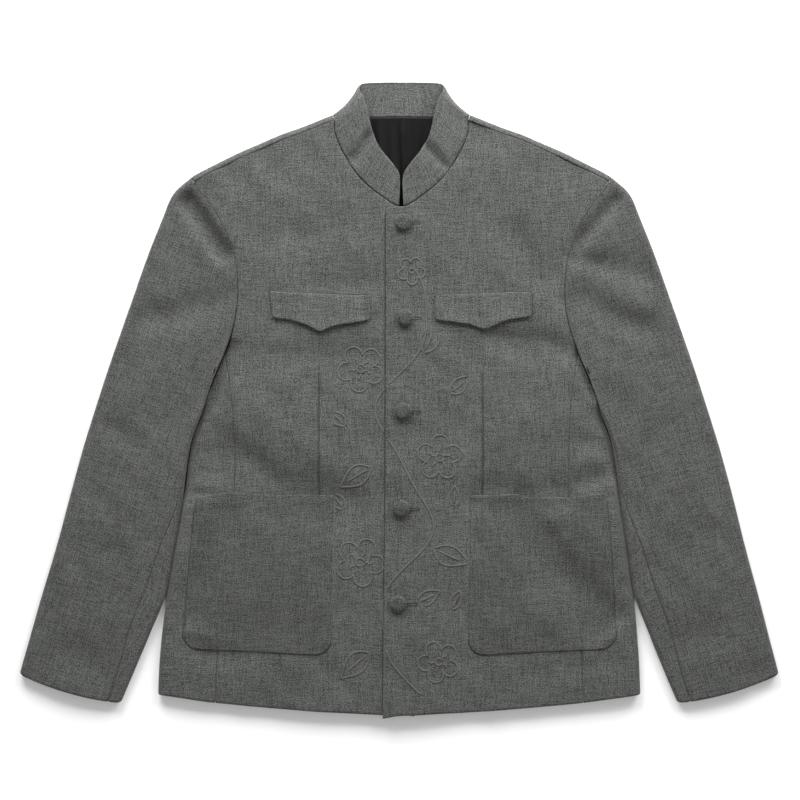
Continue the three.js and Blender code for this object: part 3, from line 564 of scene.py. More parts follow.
class WeaveGroup:
    """The worsted's weave: slubby threads both ways, over a mottled melange."""

    tree: bpy.types.NodeTree | None = None
    warp: tuple[float, float] = (60.0, 0.3)
    weft: tuple[float, float] = (52.0, 7.9)
    thread_step: float = 7.31
    speck_scale: float = 720.0
    cloud_scale: float = 17.0
    cloud: float = 0.18
    crown_height: float = 0.25
    speck_height: float = 0.6
    roughness: float = 0.86
    slub_gloss: float = -0.12

    @classmethod
    def get(cls) -> bpy.types.NodeTree:
        """The group, built on first use."""
        if cls.tree is None:
            cls.tree = cls.build()
        return cls.tree

    @classmethod
    def place(cls, nodes: Nodes, light: Colour, dark: Colour, slub: float, speckle: float,
              pitch: float) -> bpy.types.Node:
        """Put the group into a material, on the piece's own weave map.

        Args:
            nodes: the material's nodes.
            light: colour of the lightest threads.
            dark: colour of the darkest threads.
            slub: how much the threads differ along their length.
            speckle: how much the fibres differ.
            pitch: metres from thread to thread.

        Returns:
            The group's node.
        """
        grain = nodes.add("UVMap", uv_map="Weave").outputs[0]
        return nodes.add("Group", {"Grain": grain, "Light": (*light, 1), "Dark": (*dark, 1),
                                   "Slub": slub, "Speckle": speckle, "Pitch": pitch},
                         node_tree=cls.get())

    @classmethod
    def build(cls) -> bpy.types.NodeTree:
        """Wire the group: metres along the grain in, colour, height and roughness out."""
        tree, nodes, given = new_group(
            "Worsted weave",
            {"Grain": "Vector", "Light": "Color", "Dark": "Color", "Slub": "Float",
             "Speckle": "Float", "Pitch": "Float"},
            {"Color": "Color", "Height": "Float", "Roughness": "Float"},
        )
        grain = nodes.add("SeparateXYZ", {0: given["Grain"]}).outputs

        def threads(across: bpy.types.NodeSocket, along: bpy.types.NodeSocket, slubs: float,
                    seed: float) -> tuple[bpy.types.NodeSocket, bpy.types.NodeSocket]:
            """Tones of one set of threads, each its own, and the threads' numbers."""
            number = nodes.math("FLOOR", nodes.math("DIVIDE", across, given["Pitch"]))
            place = nodes.add("CombineXYZ", {0: nodes.math("MULTIPLY", number, cls.thread_step),
                                             1: nodes.math("MULTIPLY", along, slubs), 2: seed})
            tone = nodes.add("TexNoise", {"Vector": place.outputs[0], "Scale": 1.0, "Detail": 2.0,
                                          "Roughness": 0.6}).outputs["Fac"]
            return tone, number

        warp, over_warp = threads(grain[0], grain[1], *cls.warp)
        weft, over_weft = threads(grain[1], grain[0], *cls.weft)
        turn = nodes.math("MODULO", nodes.math("ADD", over_warp, over_weft), 2.0)
        on_top = nodes.math("GREATER_THAN", nodes.math("ABSOLUTE", turn), 0.5)
        slub = nodes.add("Mix", {"Factor": on_top, "A": warp, "B": weft}).outputs["Result"]
        slub = nodes.math("SUBTRACT", slub, 0.5)
        speck = nodes.add("TexNoise", {"Vector": given["Grain"], "Scale": cls.speck_scale,
                                       "Detail": 1.0, "Roughness": 0.5}).outputs["Fac"]
        cloud = nodes.add("TexNoise", {"Vector": given["Grain"], "Scale": cls.cloud_scale,
                                       "Detail": 3.0, "Roughness": 0.55}).outputs["Fac"]
        tone = nodes.math("MULTIPLY_ADD", slub, given["Slub"], 0.5)
        for noise, share in ((speck, given["Speckle"]), (cloud, cls.cloud)):
            tone = nodes.math("MULTIPLY_ADD", nodes.math("SUBTRACT", noise, 0.5), share, tone)
        colour = nodes.add("MixRGB", {"Fac": tone, "Color1": given["Dark"],
                                      "Color2": given["Light"]})
        turn = nodes.math("DIVIDE", 2 * math.pi, given["Pitch"])
        crown = nodes.math("MULTIPLY", nodes.math("SINE", nodes.math("MULTIPLY", grain[0], turn)),
                           nodes.math("SINE", nodes.math("MULTIPLY", grain[1], turn)))
        height = nodes.math("MULTIPLY_ADD", speck, cls.speck_height, tone)
        height = nodes.math("MULTIPLY_ADD", crown, cls.crown_height, height)
        rough = nodes.math("MULTIPLY_ADD", slub, cls.slub_gloss, cls.roughness)
        nodes.add("NodeGroupOutput", {"Color": colour.outputs[0], "Height": height,
                                      "Roughness": rough})
        return tree


@dataclass(frozen=True)
class Woven:
    """A woven cloth in its own tones. Without a roughness it has the weave's."""

    name: str
    light: Colour
    dark: Colour
    slub: float
    speckle: float
    pitch: float
    bump: float
    bump_depth: float
    specular: float
    roughness: float | None = None
    sheen: float = 0.0
    sheen_roughness: float = 0.5
    anisotropy: float = 0.0

    def material(self) -> bpy.types.Material:
        """Build the material: the weave's colour and relief, under its own gloss."""
        made, nodes = new_material(self.name)
        weave = WeaveGroup.place(nodes, self.light, self.dark, self.slub, self.speckle,
                                 self.pitch).outputs
        bump = nodes.add("Bump", {"Height": weave["Height"], "Strength": self.bump,
                                  "Distance": self.bump_depth})
        rough = weave["Roughness"] if self.roughness is None else self.roughness
        shader = nodes.add("BsdfPrincipled", {
            "Base Color": weave["Color"], "Roughness": rough, "Normal": bump.outputs[0],
            "Sheen Weight": self.sheen, "Sheen Roughness": self.sheen_roughness,
            "Specular IOR Level": self.specular, "Anisotropic": self.anisotropy})
        nodes.add("OutputMaterial", {"Surface": shader.outputs[0]})
        return made


@dataclass(frozen=True)
class Wool(Woven):
    """Grey melange worsted, with a faint nap."""

    name: str = "melange_wool"
    light: Colour = (0.107, 0.112, 0.105)
    dark: Colour = (0.0202, 0.0214, 0.0202)
    slub: float = 2.5
    speckle: float = 2.7
    pitch: float = 0.0009
    bump: float = 0.35
    bump_depth: float = 0.0006
    specular: float = 0.2
    sheen: float = 0.12


@dataclass(frozen=True)
class Satin(Woven):
    """Near-black lining satin: fine level threads under a soft gloss."""

    name: str = "lining_satin"
    light: Colour = (0.0085, 0.0085, 0.0088)
    dark: Colour = (0.003, 0.003, 0.003)
    slub: float = 0.6
    speckle: float = 0.3
    pitch: float = 0.0004
    bump: float = 0.08
    bump_depth: float = 0.0003
    specular: float = 0.1
    roughness: float | None = 0.42
    anisotropy: float = 0.4


@dataclass(frozen=True)
class Thread:
    """Raised thread, with shade painted into its colour: darker towards the cord's sides, where it turns
    down into the cloth.
    """

    name: str = "tonal_thread"
    crown: Colour = (0.080, 0.083, 0.069)
    # crown is the thread's own colour; side is painted shade at the cord's two sides
    side: Colour = (0.030, 0.032, 0.027)
    stitch: float = 0.0011
    slant: float = 0.8
    half_width: float = 0.00125
    side_shade_power: float = 2.5
    fibre_scale: float = 900.0
    fibre_share: float = 0.9
    bump: float = 0.5
    bump_depth: float = 0.0003
    roughness: float = 0.62
    roughness_wave: float = 0.05
    sheen: float = 0.15
    specular: float = 0.3

    def material(self) -> bpy.types.Material:
        """Build the material from metres along and across the cord."""
        made, nodes = new_material(self.name)
        grain = nodes.add("UVMap", uv_map="Weave").outputs[0]
        axes = nodes.add("SeparateXYZ", {0: grain}).outputs
        lean = nodes.math("MULTIPLY_ADD", axes[1], self.slant, axes[0])
        wave = nodes.math("SINE", nodes.math("MULTIPLY", lean, 2 * math.pi / self.stitch))
        # Painted shade: the colour runs from the crown colour to the side colour towards the cord's edges.
        off = nodes.math("ABSOLUTE", nodes.math("MULTIPLY", axes[1], 1 / self.half_width))
        edge = nodes.math("POWER", off, self.side_shade_power)
        fibre = nodes.add("TexNoise", {"Vector": grain, "Scale": self.fibre_scale, "Detail": 2.0})
        fibre = nodes.math("SUBTRACT", fibre.outputs["Fac"], 0.5)
        fibre_and_side_shade = nodes.math("MULTIPLY_ADD", fibre, self.fibre_share, edge)
        colour = nodes.add("MixRGB", {"Fac": fibre_and_side_shade, "Color1": (*self.crown, 1),
                                      "Color2": (*self.side, 1)}, use_clamp=True)
        rough = nodes.math("MULTIPLY_ADD", wave, self.roughness_wave, self.roughness)
        bump = nodes.add("Bump", {"Height": wave, "Strength": self.bump,
                                  "Distance": self.bump_depth})
        shader = nodes.add("BsdfPrincipled", {
            "Base Color": colour.outputs[0], "Roughness": rough, "Normal": bump.outputs[0],
            "Sheen Weight": self.sheen, "Specular IOR Level": self.specular})
        nodes.add("OutputMaterial", {"Surface": shader.outputs[0]})
        return made


@dataclass(frozen=True)
class Plaster:
    """The studio's pale floor."""

    name: str = "pale_floor"
    shade: float = 0.86
    mottle: float = 0.02
    mottle_scale: float = 2.0
    roughness: float = 0.9
    specular: float = 0.1

    def material(self) -> bpy.types.Material:
        """Build the material, a barely mottled matt white."""
        made, nodes = new_material(self.name)
        place = nodes.add("TexCoord").outputs["Object"]
        cloud = nodes.add("TexNoise", {"Vector": place, "Scale": self.mottle_scale, "Detail": 2.0})
        value = nodes.math("MULTIPLY_ADD", cloud.outputs["Fac"], self.mottle, self.shade)
        tint = nodes.add("CombineColor", {0: value, 1: value, 2: value})
        shader = nodes.add("BsdfPrincipled", {"Base Color": tint.outputs[0],
                                              "Roughness": self.roughness,
                                              "Specular IOR Level": self.specular})
        nodes.add("OutputMaterial", {"Surface": shader.outputs[0]})
        return made


@dataclass(frozen=True)
class Wardrobe:
    """The finishes that the pieces take, built once."""

    wool: bpy.types.Material
    # collar: the body wool lightened, as painted light
    collar: bpy.types.Material
    # sleeve: the body wool darkened, as painted shade
    sleeve: bpy.types.Material
    # pocket: the body wool darkened, as painted shade
    pocket: bpy.types.Material
    # button: the body wool darkened, as painted shade
    button: bpy.types.Material
    satin: bpy.types.Material
    thread: bpy.types.Material
    # seam: near-black thread for the sewn rows and buttonhole rims, which paints shadow lines along edges
    seam: bpy.types.Material


# ---- Meshes and objects --------------------------------------------------------------
def linked(name: str, data: bpy.types.ID) -> bpy.types.Object:
    """A new object in the scene for a mesh, a light or a camera."""
    obj = bpy.data.objects.new(name, data)
    bpy.context.scene.collection.objects.link(obj)
    return obj


def map_weave(mesh: bpy.types.Mesh, flat: Array) -> None:
    """Map the weave onto a mesh.

    Args:
        mesh: the mesh.
        flat: where each of its points lies in the cut, in millimetres.
    """
    weave = mesh.uv_layers.new(name="Weave")
    corners = np.zeros(len(mesh.loops), np.int32)
    mesh.loops.foreach_get("vertex_index", corners)
    weave.data.foreach_set("uv", (flat * MM)[corners].ravel())


def fixed(name: str, verts: Array, faces: list, flat: Array, finish: bpy.types.Material) -> bpy.types.Object:
    """Make a small piece that is fixed on the cloth.

    Args:
        name: the piece's name.
        verts: its points, in millimetres.
        faces: its faces.
        flat: where each point lies in the weave's map, in millimetres.
        finish: its material.

    Returns:
        The piece, riding on the jacket.
    """
    mesh = bpy.data.meshes.new(name)
    mesh.from_pydata((verts * MM).tolist(), [], faces)
    mesh.materials.append(finish)
    map_weave(mesh, flat)
    obj = linked(name, mesh)
    tidy(obj)
    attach(obj, "root")
    LOG.info("%s: %d faces", obj.name, len(mesh.polygons))
    return obj


def tidy(obj: bpy.types.Object) -> None:
    """Merge doubled points, drop empty faces and shade smooth."""
    work = bmesh.new()
    work.from_mesh(obj.data)
    bmesh.ops.remove_doubles(work, verts=work.verts, dist=1e-6)
    bmesh.ops.dissolve_degenerate(work, edges=work.edges, dist=1e-7)
    bmesh.ops.recalc_face_normals(work, faces=work.faces)
    for face in work.faces:
        face.smooth = True
    work.to_mesh(obj.data)
    work.free()


# ---- Cloth panels ------------------------------------------------------------------
class Edge(Enum):
    """Sides of a panel's grid."""

    BOTTOM = 0
    RIGHT = 1
    TOP = 2
    LEFT = 3


@dataclass
class Panel:
    """A piece of cloth: a grid on its outer face, given a wall and rolled edges."""

    name: str
    points: Array
    cut: Array
    wall: float
    flip: bool
    finish: bpy.types.Material
    inside: bpy.types.Material
    slot: str = "wool"
    free: tuple[Edge, ...] = ()
    present: Array | None = None
    sewn_left: Array | None = None
    rests_on: tuple[str, ...] = ()
    # How much a sewn edge's rim bulges, and where its rings lie round it, in degrees.
    sewn: float = 0.05
    rim_angles: tuple[float, ...] = (45, 90, 135)

    @staticmethod
    def from_edge(edge: Edge, grid: Array) -> Array:
        """A view of a grid whose rows run in from one of its edges."""
        turned = np.swapaxes(grid, 0, 1) if edge in (Edge.LEFT, Edge.RIGHT) else grid
        return turned[::-1] if edge in (Edge.TOP, Edge.RIGHT) else turned

    def roll(self, edge: Edge, depth: Array | float, reach: float) -> None:
        """Sink the cloth towards an edge, down the wall's own normal.

        Args:
            edge: the side of the grid.
            depth: how far it sinks at the edge, one value or one for each point along it.
            reach: how far in from the edge it starts to sink.
        """
        inward = self.from_edge(edge, self.points)
        steps = np.diff(inward, axis=0, prepend=inward[:1])
        run = np.cumsum(np.linalg.norm(steps, axis=2), axis=0)
        near = np.clip(1 - run / reach, 0, 1)
        sink = (1 - np.sqrt(1 - near**2)) * np.broadcast_to(depth, inward.shape[1])
        inward -= self.from_edge(edge, self.normals()) * sink[..., None]

    def cells(self) -> Array:
        """Which cells of the grid hold cloth."""
        if self.present is not None:
            return self.present
        return np.ones((self.points.shape[0] - 1, self.points.shape[1] - 1), bool)

    def normals(self) -> Array:
        """Outward normals at the grid's points."""
        p = self.points
        cell = np.cross(p[1:, 1:] - p[:-1, :-1], p[1:, :-1] - p[:-1, 1:])
        if self.flip:
            cell = -cell
        cell = cell * self.cells()[..., None]
        total = np.zeros_like(p)
        for i in (0, 1):
            for j in (0, 1):
                rows, cols = p.shape[0] - 1 + i, p.shape[1] - 1 + j
                total[i:rows, j:cols] += cell
        return unit(total)

    def build(self) -> bpy.types.Object:
        """Returns:
            The piece.
        """
        obj = linked(self.name, self.mesh())
        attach(obj, "root")
        width, length, area = self.cut_size()
        LOG.info("%s: %d faces, cut %.3f x %.3f m", self.name, len(obj.data.polygons), width,
                 length)
        return obj

    def cut_size(self) -> tuple[float, float, float]:
        """Width and length that the cut takes, and its area, in metres."""
        used = np.zeros(self.points.shape[:2], bool)
        cells = self.cells()
        for i in (0, 1):
            for j in (0, 1):
                used[i:cells.shape[0] + i, j:cells.shape[1] + j] |= cells
        flat = self.cut[used]
        size = (flat.max(0) - flat.min(0)) * MM
        a = self.cut[1:, 1:] - self.cut[:-1, :-1]
        b = self.cut[1:, :-1] - self.cut[:-1, 1:]
        area = np.abs(a[..., 0] * b[..., 1] - a[..., 1] * b[..., 0]) / 2
        area = float((area * cells).sum()) * MM * MM
        return float(size[0]), float(size[1]), area

    def mesh(self) -> bpy.types.Mesh:
        """Wall the grid: outer face, inner face and a rounded rim where an edge is free."""
        points, cut, cells, normals = self.points, self.cut, self.cells(), self.normals()
        if self.flip:
            points, cut, cells, normals = (a[:, ::-1] for a in (points, cut, cells, normals))
        m, n = points.shape[:2]
        number = np.arange(m * n).reshape(m, n)
        quads = np.stack([number[:-1, :-1], number[:-1, 1:], number[1:, 1:], number[1:, :-1]], -1)
        faces = quads[cells]
        padded = np.pad(cells, 1)
        rim = []
        for k, (di, dj) in enumerate(((-1, 0), (0, 1), (1, 0), (0, -1))):
            beyond = padded[1 + di:m + di, 1 + dj:n + dj]
            mask = cells & ~beyond
            rim.append(quads[mask][:, [k, (k + 1) % 4]])
        rim = np.concatenate(rim)
        edge_points = np.unique(rim)
        place = points.reshape(-1, 3)
        normal = normals.reshape(-1, 3)
        middle = (points[:-1, :-1] + points[:-1, 1:] + points[1:, 1:] + points[1:, :-1])[cells] / 4
        inward = np.zeros_like(place)
        for k in range(4):
            np.add.at(inward, faces[:, k], middle - place[faces[:, k]])
        outward = -inward[edge_points]
        up = normal[edge_points]
        outward = unit(outward - up * (outward * up).sum(1, keepdims=True))
        bulge = self.wall / 2 * self.roundness()[edge_points][:, None]
        rings = []
        for angle in np.radians(self.rim_angles):
            rings.append(place[edge_points] - up * self.wall / 2 * (1 - math.cos(angle))
                         + outward * bulge * math.sin(angle))
        inner = place - normal * self.wall
        count = m * n
        ring_of = np.full(count, -1)
        ring_of[edge_points] = np.arange(len(edge_points))
        verts = np.concatenate([place, inner, *rings]) * MM
        flat = cut.reshape(-1, 2)
        mapped = np.concatenate([flat, flat, *([flat[edge_points]] * len(rings))])
        of_ring = [2 * count + k * len(edge_points) + ring_of[rim] for k in range(len(rings))]
        levels = [rim, *of_ring, rim + count]
        walls = [np.stack([a[:, 1], a[:, 0], b[:, 0], b[:, 1]], -1)
                 for a, b in zip(levels, levels[1:])]
        every = np.concatenate([faces, *walls, faces[:, ::-1] + count])
        used = np.unique(every)
        renumber = np.full(len(verts), -1)
        renumber[used] = np.arange(len(used))
        every = renumber[every]
        made = bpy.data.meshes.new(self.name)
        made.from_pydata(verts[used].tolist(), [], every.tolist())
        made.materials.append(self.finish)
        made.materials.append(self.inside)
        lined = np.zeros(len(every), np.int32)
        lined[-len(faces):] = 1
        made.polygons.foreach_set("material_index", lined)
        made.polygons.foreach_set("use_smooth", np.ones(len(every), bool))
        map_weave(made, mapped[used])
        made.update()
        return made

    def roundness(self) -> Array:
        """How far each grid point's rim bulges, 1 on free edges."""
        bulge = np.full(self.points.shape[:2], self.sewn)
        for edge in self.free:
            self.from_edge(edge, bulge)[0] = 1
        if self.sewn_left is not None:
            bulge[self.sewn_left, 0] = self.sewn
        return (bulge[:, ::-1] if self.flip else bulge).ravel()


# ---- Armhole and shoulder lines --------------------------------------------------------
SHOULDER_LINE = through(SHOULDER)
ARMHOLE_UPPER = through(ARMHOLE)
ARMHOLE_SHARE = 54 / (54 + 224)
ARMHOLE_TIP = 0.965
HEM_Y = column(HEM, 0, 1)
FOLD_X = column(BODY_FOLD, 1, 0)


def shoulder_normal(t: Array) -> Array:
    """Outward direction of the shoulder's silhouette in plan."""
    step = 0.02
    t = np.asarray(t, float)
    run = unit(SHOULDER_LINE(np.minimum(t + step, 1)) - SHOULDER_LINE(np.maximum(t - step, 0)))
    return np.stack([-run[..., 1], run[..., 0]], -1)


def shoulder_point(t: Array, inset: Array | float) -> Array:
    """Points on the shoulder, inset from its silhouette."""
    return SHOULDER_LINE(t) - shoulder_normal(t) * np.asarray(inset)[..., None]


def shifted(curve: Curve, shift: float) -> Curve:
    """A plan curve moved in x."""

    def read(t: Array) -> Array:
        """Points at t."""
        return curve(t) + np.array([shift, 0.0])

    return read


def seam_clear(t: Array) -> Array:
    """The shoulder seam's clearance at its two ends."""
    return plan(mix(SEAM_GAP, -SEAM_GAP, np.asarray(t, float)), 0.0)


@dataclass
class Body:
    """Fronts, side panels and back."""

    wear: Wardrobe
    step: float = 2.7
    side_step: float = 3.0
    # What the whole of a grid parameter would measure: across a front, at the rate of its
    # side seam, at the rate of its armhole, and up a side panel.
    across_span: float = 225.0
    seam_span: float = 640.0
    armhole_span: float = 560.0
    side_span: float = 350.0
    opening_share: float = 0.76
    seam_share: float = 0.64
    neck_share: float = 0.3
    upper_hem_run: float = 1.0
    lower_hem_rise: float = 2.2
    dart_x: tuple[float, float] = (93.3, 94.7)
    dart_from: float = 44.0
    dart_to: float = -112.0
    dart_u: float = 0.478
    dart_pitch: float = 0.0026
    dart_groove: tuple[float, float] = (0.0042, 1.3)
    dart_dip: tuple[float, float] = (0.03, 0.4)
    dart_pull: float = 0.14
    dart_pull_low: tuple[float, float] = (-340.0, -180.0)
    dart_pull_high: tuple[float, float] = (70.0, 220.0)
    seam_roll: tuple[float, float] = (0.9, 3.2)
    armhole_sink: tuple[float, float] = (5.0, 0.4)
    tongue: float = 1.2
    tongue_most: float = 12.0
    tongue_low: tuple[float, float] = (-238.0, -222.0)
    fold_bow: float = 1.4
    back_turns: int = 12

    def build(self) -> None:
        """Make the five panels."""
        for side in Side:
            self.front(side)
            self.side_panel(side)
        self.back()

    def front(self, side: Side) -> None:
        """One front, from the opening to the side seam."""
        left = side is Side.LEFT
        run_on, lift = (self.upper_hem_run, 0.0) if left else (0.0, self.lower_hem_rise)

        def hem(t: Array) -> Array:
            """Hem edge."""
            x = mix(-OVERLAP - run_on, SEAM_FOOT[0] - SEAM_GAP, np.asarray(t, float))
            return plan(x, HEM_Y(x) + lift * (1 - smooth(x, -20, 20)))

        def shoulder(t: Array) -> Array:
            """Shoulder seam, on top of the shoulder."""
            inset = np.full(np.shape(t), SHOULDER_RADIUS + SEAM_GAP)
            return shoulder_point(t, inset) + seam_clear(t)

        feet = [(x + SEAM_GAP, y - SEAM_GAP) for x, y, *_ in (*COLLAR, NECK_SIDE)]
        neck = point_by_point([FRONT_CORNER, *feet])
        low, high = hem(np.array([0.0]))[0], np.array(FRONT_CORNER)

        def opening(t: Array) -> Array:
            """Edge of the opening, hem to neck."""
            return mix(low, high, np.asarray(t)[..., None])

        seam = line_by(SIDE_SEAM, SEAM_FOOT[1], SEAM_HEAD[1])
        armhole = shifted(joined(seam, ARMHOLE_UPPER, self.seam_share), -SEAM_GAP)
        tip = shoulder(np.array([1.0]))[0]

        def outer(t: Array) -> Array:
            """Side seam and armhole, up to the shoulder's tip."""
            t = np.asarray(t, float)
            return np.where((t >= 1)[..., None], tip, armhole(t))

        us = merged(grid_steps(0, 1, self.step / self.across_span),
                    self.dart_u + np.arange(-4, 5) * self.dart_pitch,
                    np.array([0.004, 0.008]), 1 - np.array([0.003, 0.006]))
        vs = merged(grid_steps(0, self.seam_share, self.step / self.seam_span),
                    grid_steps(self.seam_share, 1, self.step / self.armhole_span),
                    np.array([0.0015, 0.003]),
                    self.opening_share + np.array([-0.003, 0, 0.003]),
                    1 - np.array([0.0015, 0.003, 0.006]))
        flat = patch(hem, shoulder, joined(opening, neck, self.opening_share), outer, us, vs)
        self.follow_dart(flat, us, self.dart_x[0 if left else 1])
        points = placed(side, flat[..., 0], flat[..., 1], 0.0)
        points[..., 2] = front_top(side, points[..., 0], points[..., 1])
        points[..., 2] -= self.dart(us[None, :] - self.dart_u, flat[..., 1])
        cut = points[..., :2] + CUT_FROM[f"front_{side.label}"]
        neck_rows = vs >= self.opening_share - 1e-6
        panel = Panel(f"front_{side.label}_cloth", points, cut, CLOTH_WALL, not left,
                      self.wear.wool, self.wear.satin, free=(Edge.BOTTOM, Edge.LEFT),
                      sewn_left=neck_rows,
                      rests_on=("back_cloth",) if not left else ("front_right_cloth", "back_cloth"))
        panel.roll(Edge.BOTTOM, *HEM_ROLL)
        panel.roll(Edge.LEFT, np.where(neck_rows, 1.2, 0.6), 2.7)
        panel.roll(Edge.RIGHT, self.armhole_depth(vs), self.seam_roll[1])
        panel.roll(Edge.TOP, *SHOULDER_ROLL)
        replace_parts(panel.build(), f"front_{side.label}")

    def follow_dart(self, flat: Array, us: Array, dart_x: float) -> None:
        """Draw a front's columns onto the line of its dart.

        Args:
            flat: the front's plan points, which are moved.
            us: places of its columns.
            dart_x: where the dart lies.
        """
        near = flat[:, np.argmin(np.abs(us - self.dart_u))]
        pull = (dart_x - near[:, 0]) * smooth(near[:, 1], *self.dart_pull_low)
        pull = pull * (1 - smooth(near[:, 1], *self.dart_pull_high))
        share = np.exp(-(((us - self.dart_u) / self.dart_pull) ** 2))
        flat[..., 0] += pull[:, None] * share * smooth(us, 0, 0.2) * (1 - smooth(us, 0.8, 1))

    def dart(self, off: Array, y: Array) -> Array:
        """Depth of the waist dart: its stitched groove, in a shallow dip."""
        across = 0.0
        for width, depth in (self.dart_groove, self.dart_dip):
            across = across + np.exp(-((off / width) ** 2)) * depth
        foot = smooth(y, self.dart_to - 8, self.dart_to)
        return across * foot * (1 - smooth(y, self.dart_from - 40, self.dart_from))

    def armhole_depth(self, vs: Array) -> Array:
        """Depth of the side seam and, above it, of the armhole seam."""
        along = np.clip((vs - self.seam_share) / (1 - self.seam_share), 0, 1)
        armhole = mix(*self.armhole_sink, smooth(along, 0.0, 0.62))
        return np.where(vs < self.seam_share, self.seam_roll[0], armhole)

    def side_panel(self, side: Side) -> None:
        """One side panel, from the front seam round the fold to the back seam."""
        vs = merged(grid_steps(0, 1, self.side_step / self.side_span), np.array([0.003, 0.006]),
                    1 - np.array([0.004, 0.008, 0.014]))
        head = SEAM_HEAD[1]
        fold_y = mix(HEM_Y(FOLD_FOOT[0]), UNDERARM[1], vs)
        bow = self.fold_bow * np.sin(np.pi * vs)
        fold = plan(FOLD_X(fold_y) + bow - SEAM_GAP * vs, fold_y)
        top_y = mix(HEM_Y(SEAM_FOOT[0]), head, vs)
        seam = plan(column(SIDE_SEAM, 1, 0)(top_y) + SEAM_GAP, top_y - SEAM_GAP * 2 * vs)
        back_y = mix(HEM_Y(BACK_FOOT[0]) + HEM_LIFT_BACK, head, vs)
        back = plan(column(BACK_SEAM, 1, 0)(back_y) + SEAM_GAP, back_y - SEAM_GAP * 2 * vs)
        radius = FOLD_RADIUS
        columns, runs = [], []
        reach = column(SLEEVE, 1, 0)(fold_y) - fold[:, 0] + self.tongue
        reach = np.clip(reach, 0, self.tongue_most)
        reach = reach * smooth(fold_y, *self.tongue_low) * (1 - smooth(vs, 0.96, 1.0))

        def inward(target: Array, distance: float) -> Array:
            """Points in from the fold towards a seam."""
            run = target - fold
            length = np.linalg.norm(run, axis=1)
            return fold + run * (distance / length)[:, None]

        def lay(place: Array, flat: Array) -> Array:
            """Add a column of points, and where it lies in the cut."""
            columns.append(placed(side, place[:, 0], place[:, 1], 0.0))
            runs.append(flat)
            return columns[-1]

        over = merged(grid_steps(0, 1, 1 / 16), np.array([0.02, 0.04]))
        for share in over[:-1]:
            place = mix(seam, inward(seam, radius), share)
            spot = lay(place, place)
            spot[:, 2] = body_top(spot[:, 0], spot[:, 1])
        for degrees in np.linspace(90, -90, 13):
            angle = math.radians(degrees)
            target = seam if degrees > 0 else back
            out = smooth(-degrees, -30, 40) * (1 - 0.5 * smooth(-degrees, 40, 90))
            place = inward(target, radius * (1 - math.cos(angle))) + plan(reach * out, 0.0)
            turned = radius * (math.pi / 2 - angle) - radius * (1 - math.cos(angle))
            spot = lay(place, place + plan(turned, 0.0))
            spot[:, 2] = body_top(spot[:, 0], spot[:, 1]) / 2 * (1 + math.sin(angle))
        for share in np.linspace(1, 0, 7)[1:]:
            place = mix(back, inward(back, radius), share)
            mirrored = 2 * fold[:, 0] - place[:, 0] + radius * (math.pi - 2)
            spot = lay(place, plan(mirrored, place[:, 1]))
            spot[:, 2] = np.abs(BACK_SWELL.rise(spot[:, 0], spot[:, 1]))
        points = np.stack(columns, 1)
        cut = np.stack(runs, 1) * np.array([side.value, 1]) + CUT_FROM["side"]
        panel = Panel(f"side_{side.label}_cloth", points, cut, CLOTH_WALL, side is Side.RIGHT,
                      self.wear.wool, self.wear.satin, free=(Edge.BOTTOM,),
                      rests_on=("back_cloth",))
        panel.roll(Edge.BOTTOM, *HEM_ROLL)
        panel.roll(Edge.LEFT, *self.seam_roll)
        share = np.arange(points.shape[1]) / (points.shape[1] - 1)
        panel.roll(Edge.TOP, 1.8 * (1 - smooth(share, 0.35, 0.6)) + 0.3, 3.6)
        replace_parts(panel.build(), f"side_{side.label}")

    def back(self) -> None:
        """The back, which wraps over the shoulders to their seams."""
        neck_share, seam_share = self.neck_share, self.seam_share

        def hem(t: Array) -> Array:
            """Hem edge."""
            x = mix(0, BACK_FOOT[0] - SEAM_GAP, np.asarray(t, float))
            return plan(x, HEM_Y(x) + HEM_LIFT_BACK)

        neck = through([(x, y - SEAM_GAP) for x, y in BACK_NECK])

        def shoulder(t: Array) -> Array:
            """Where the back starts to turn up over the shoulder."""
            return shoulder_point(t, np.full(np.shape(t), SHOULDER_RADIUS)) + seam_clear(t)

        low, high = hem(np.array([0.0]))[0][1], neck(np.array([0.0]))[0][1]

        def centre(t: Array) -> Array:
            """Centre line, hem to neck."""
            return plan(0.0, mix(low, high, np.asarray(t, float)))

        seam = line_by(BACK_SEAM, BACK_FOOT[1], SEAM_HEAD[1])
        lateral = shifted(joined(seam, ARMHOLE_UPPER, seam_share), -SEAM_GAP)
        tip = shoulder(np.array([1.0]))[0]

        def outer(t: Array) -> Array:
            """Back seam and armhole, up to the shoulder's tip."""
            return np.where((np.asarray(t) >= 1)[..., None], tip, lateral(t))

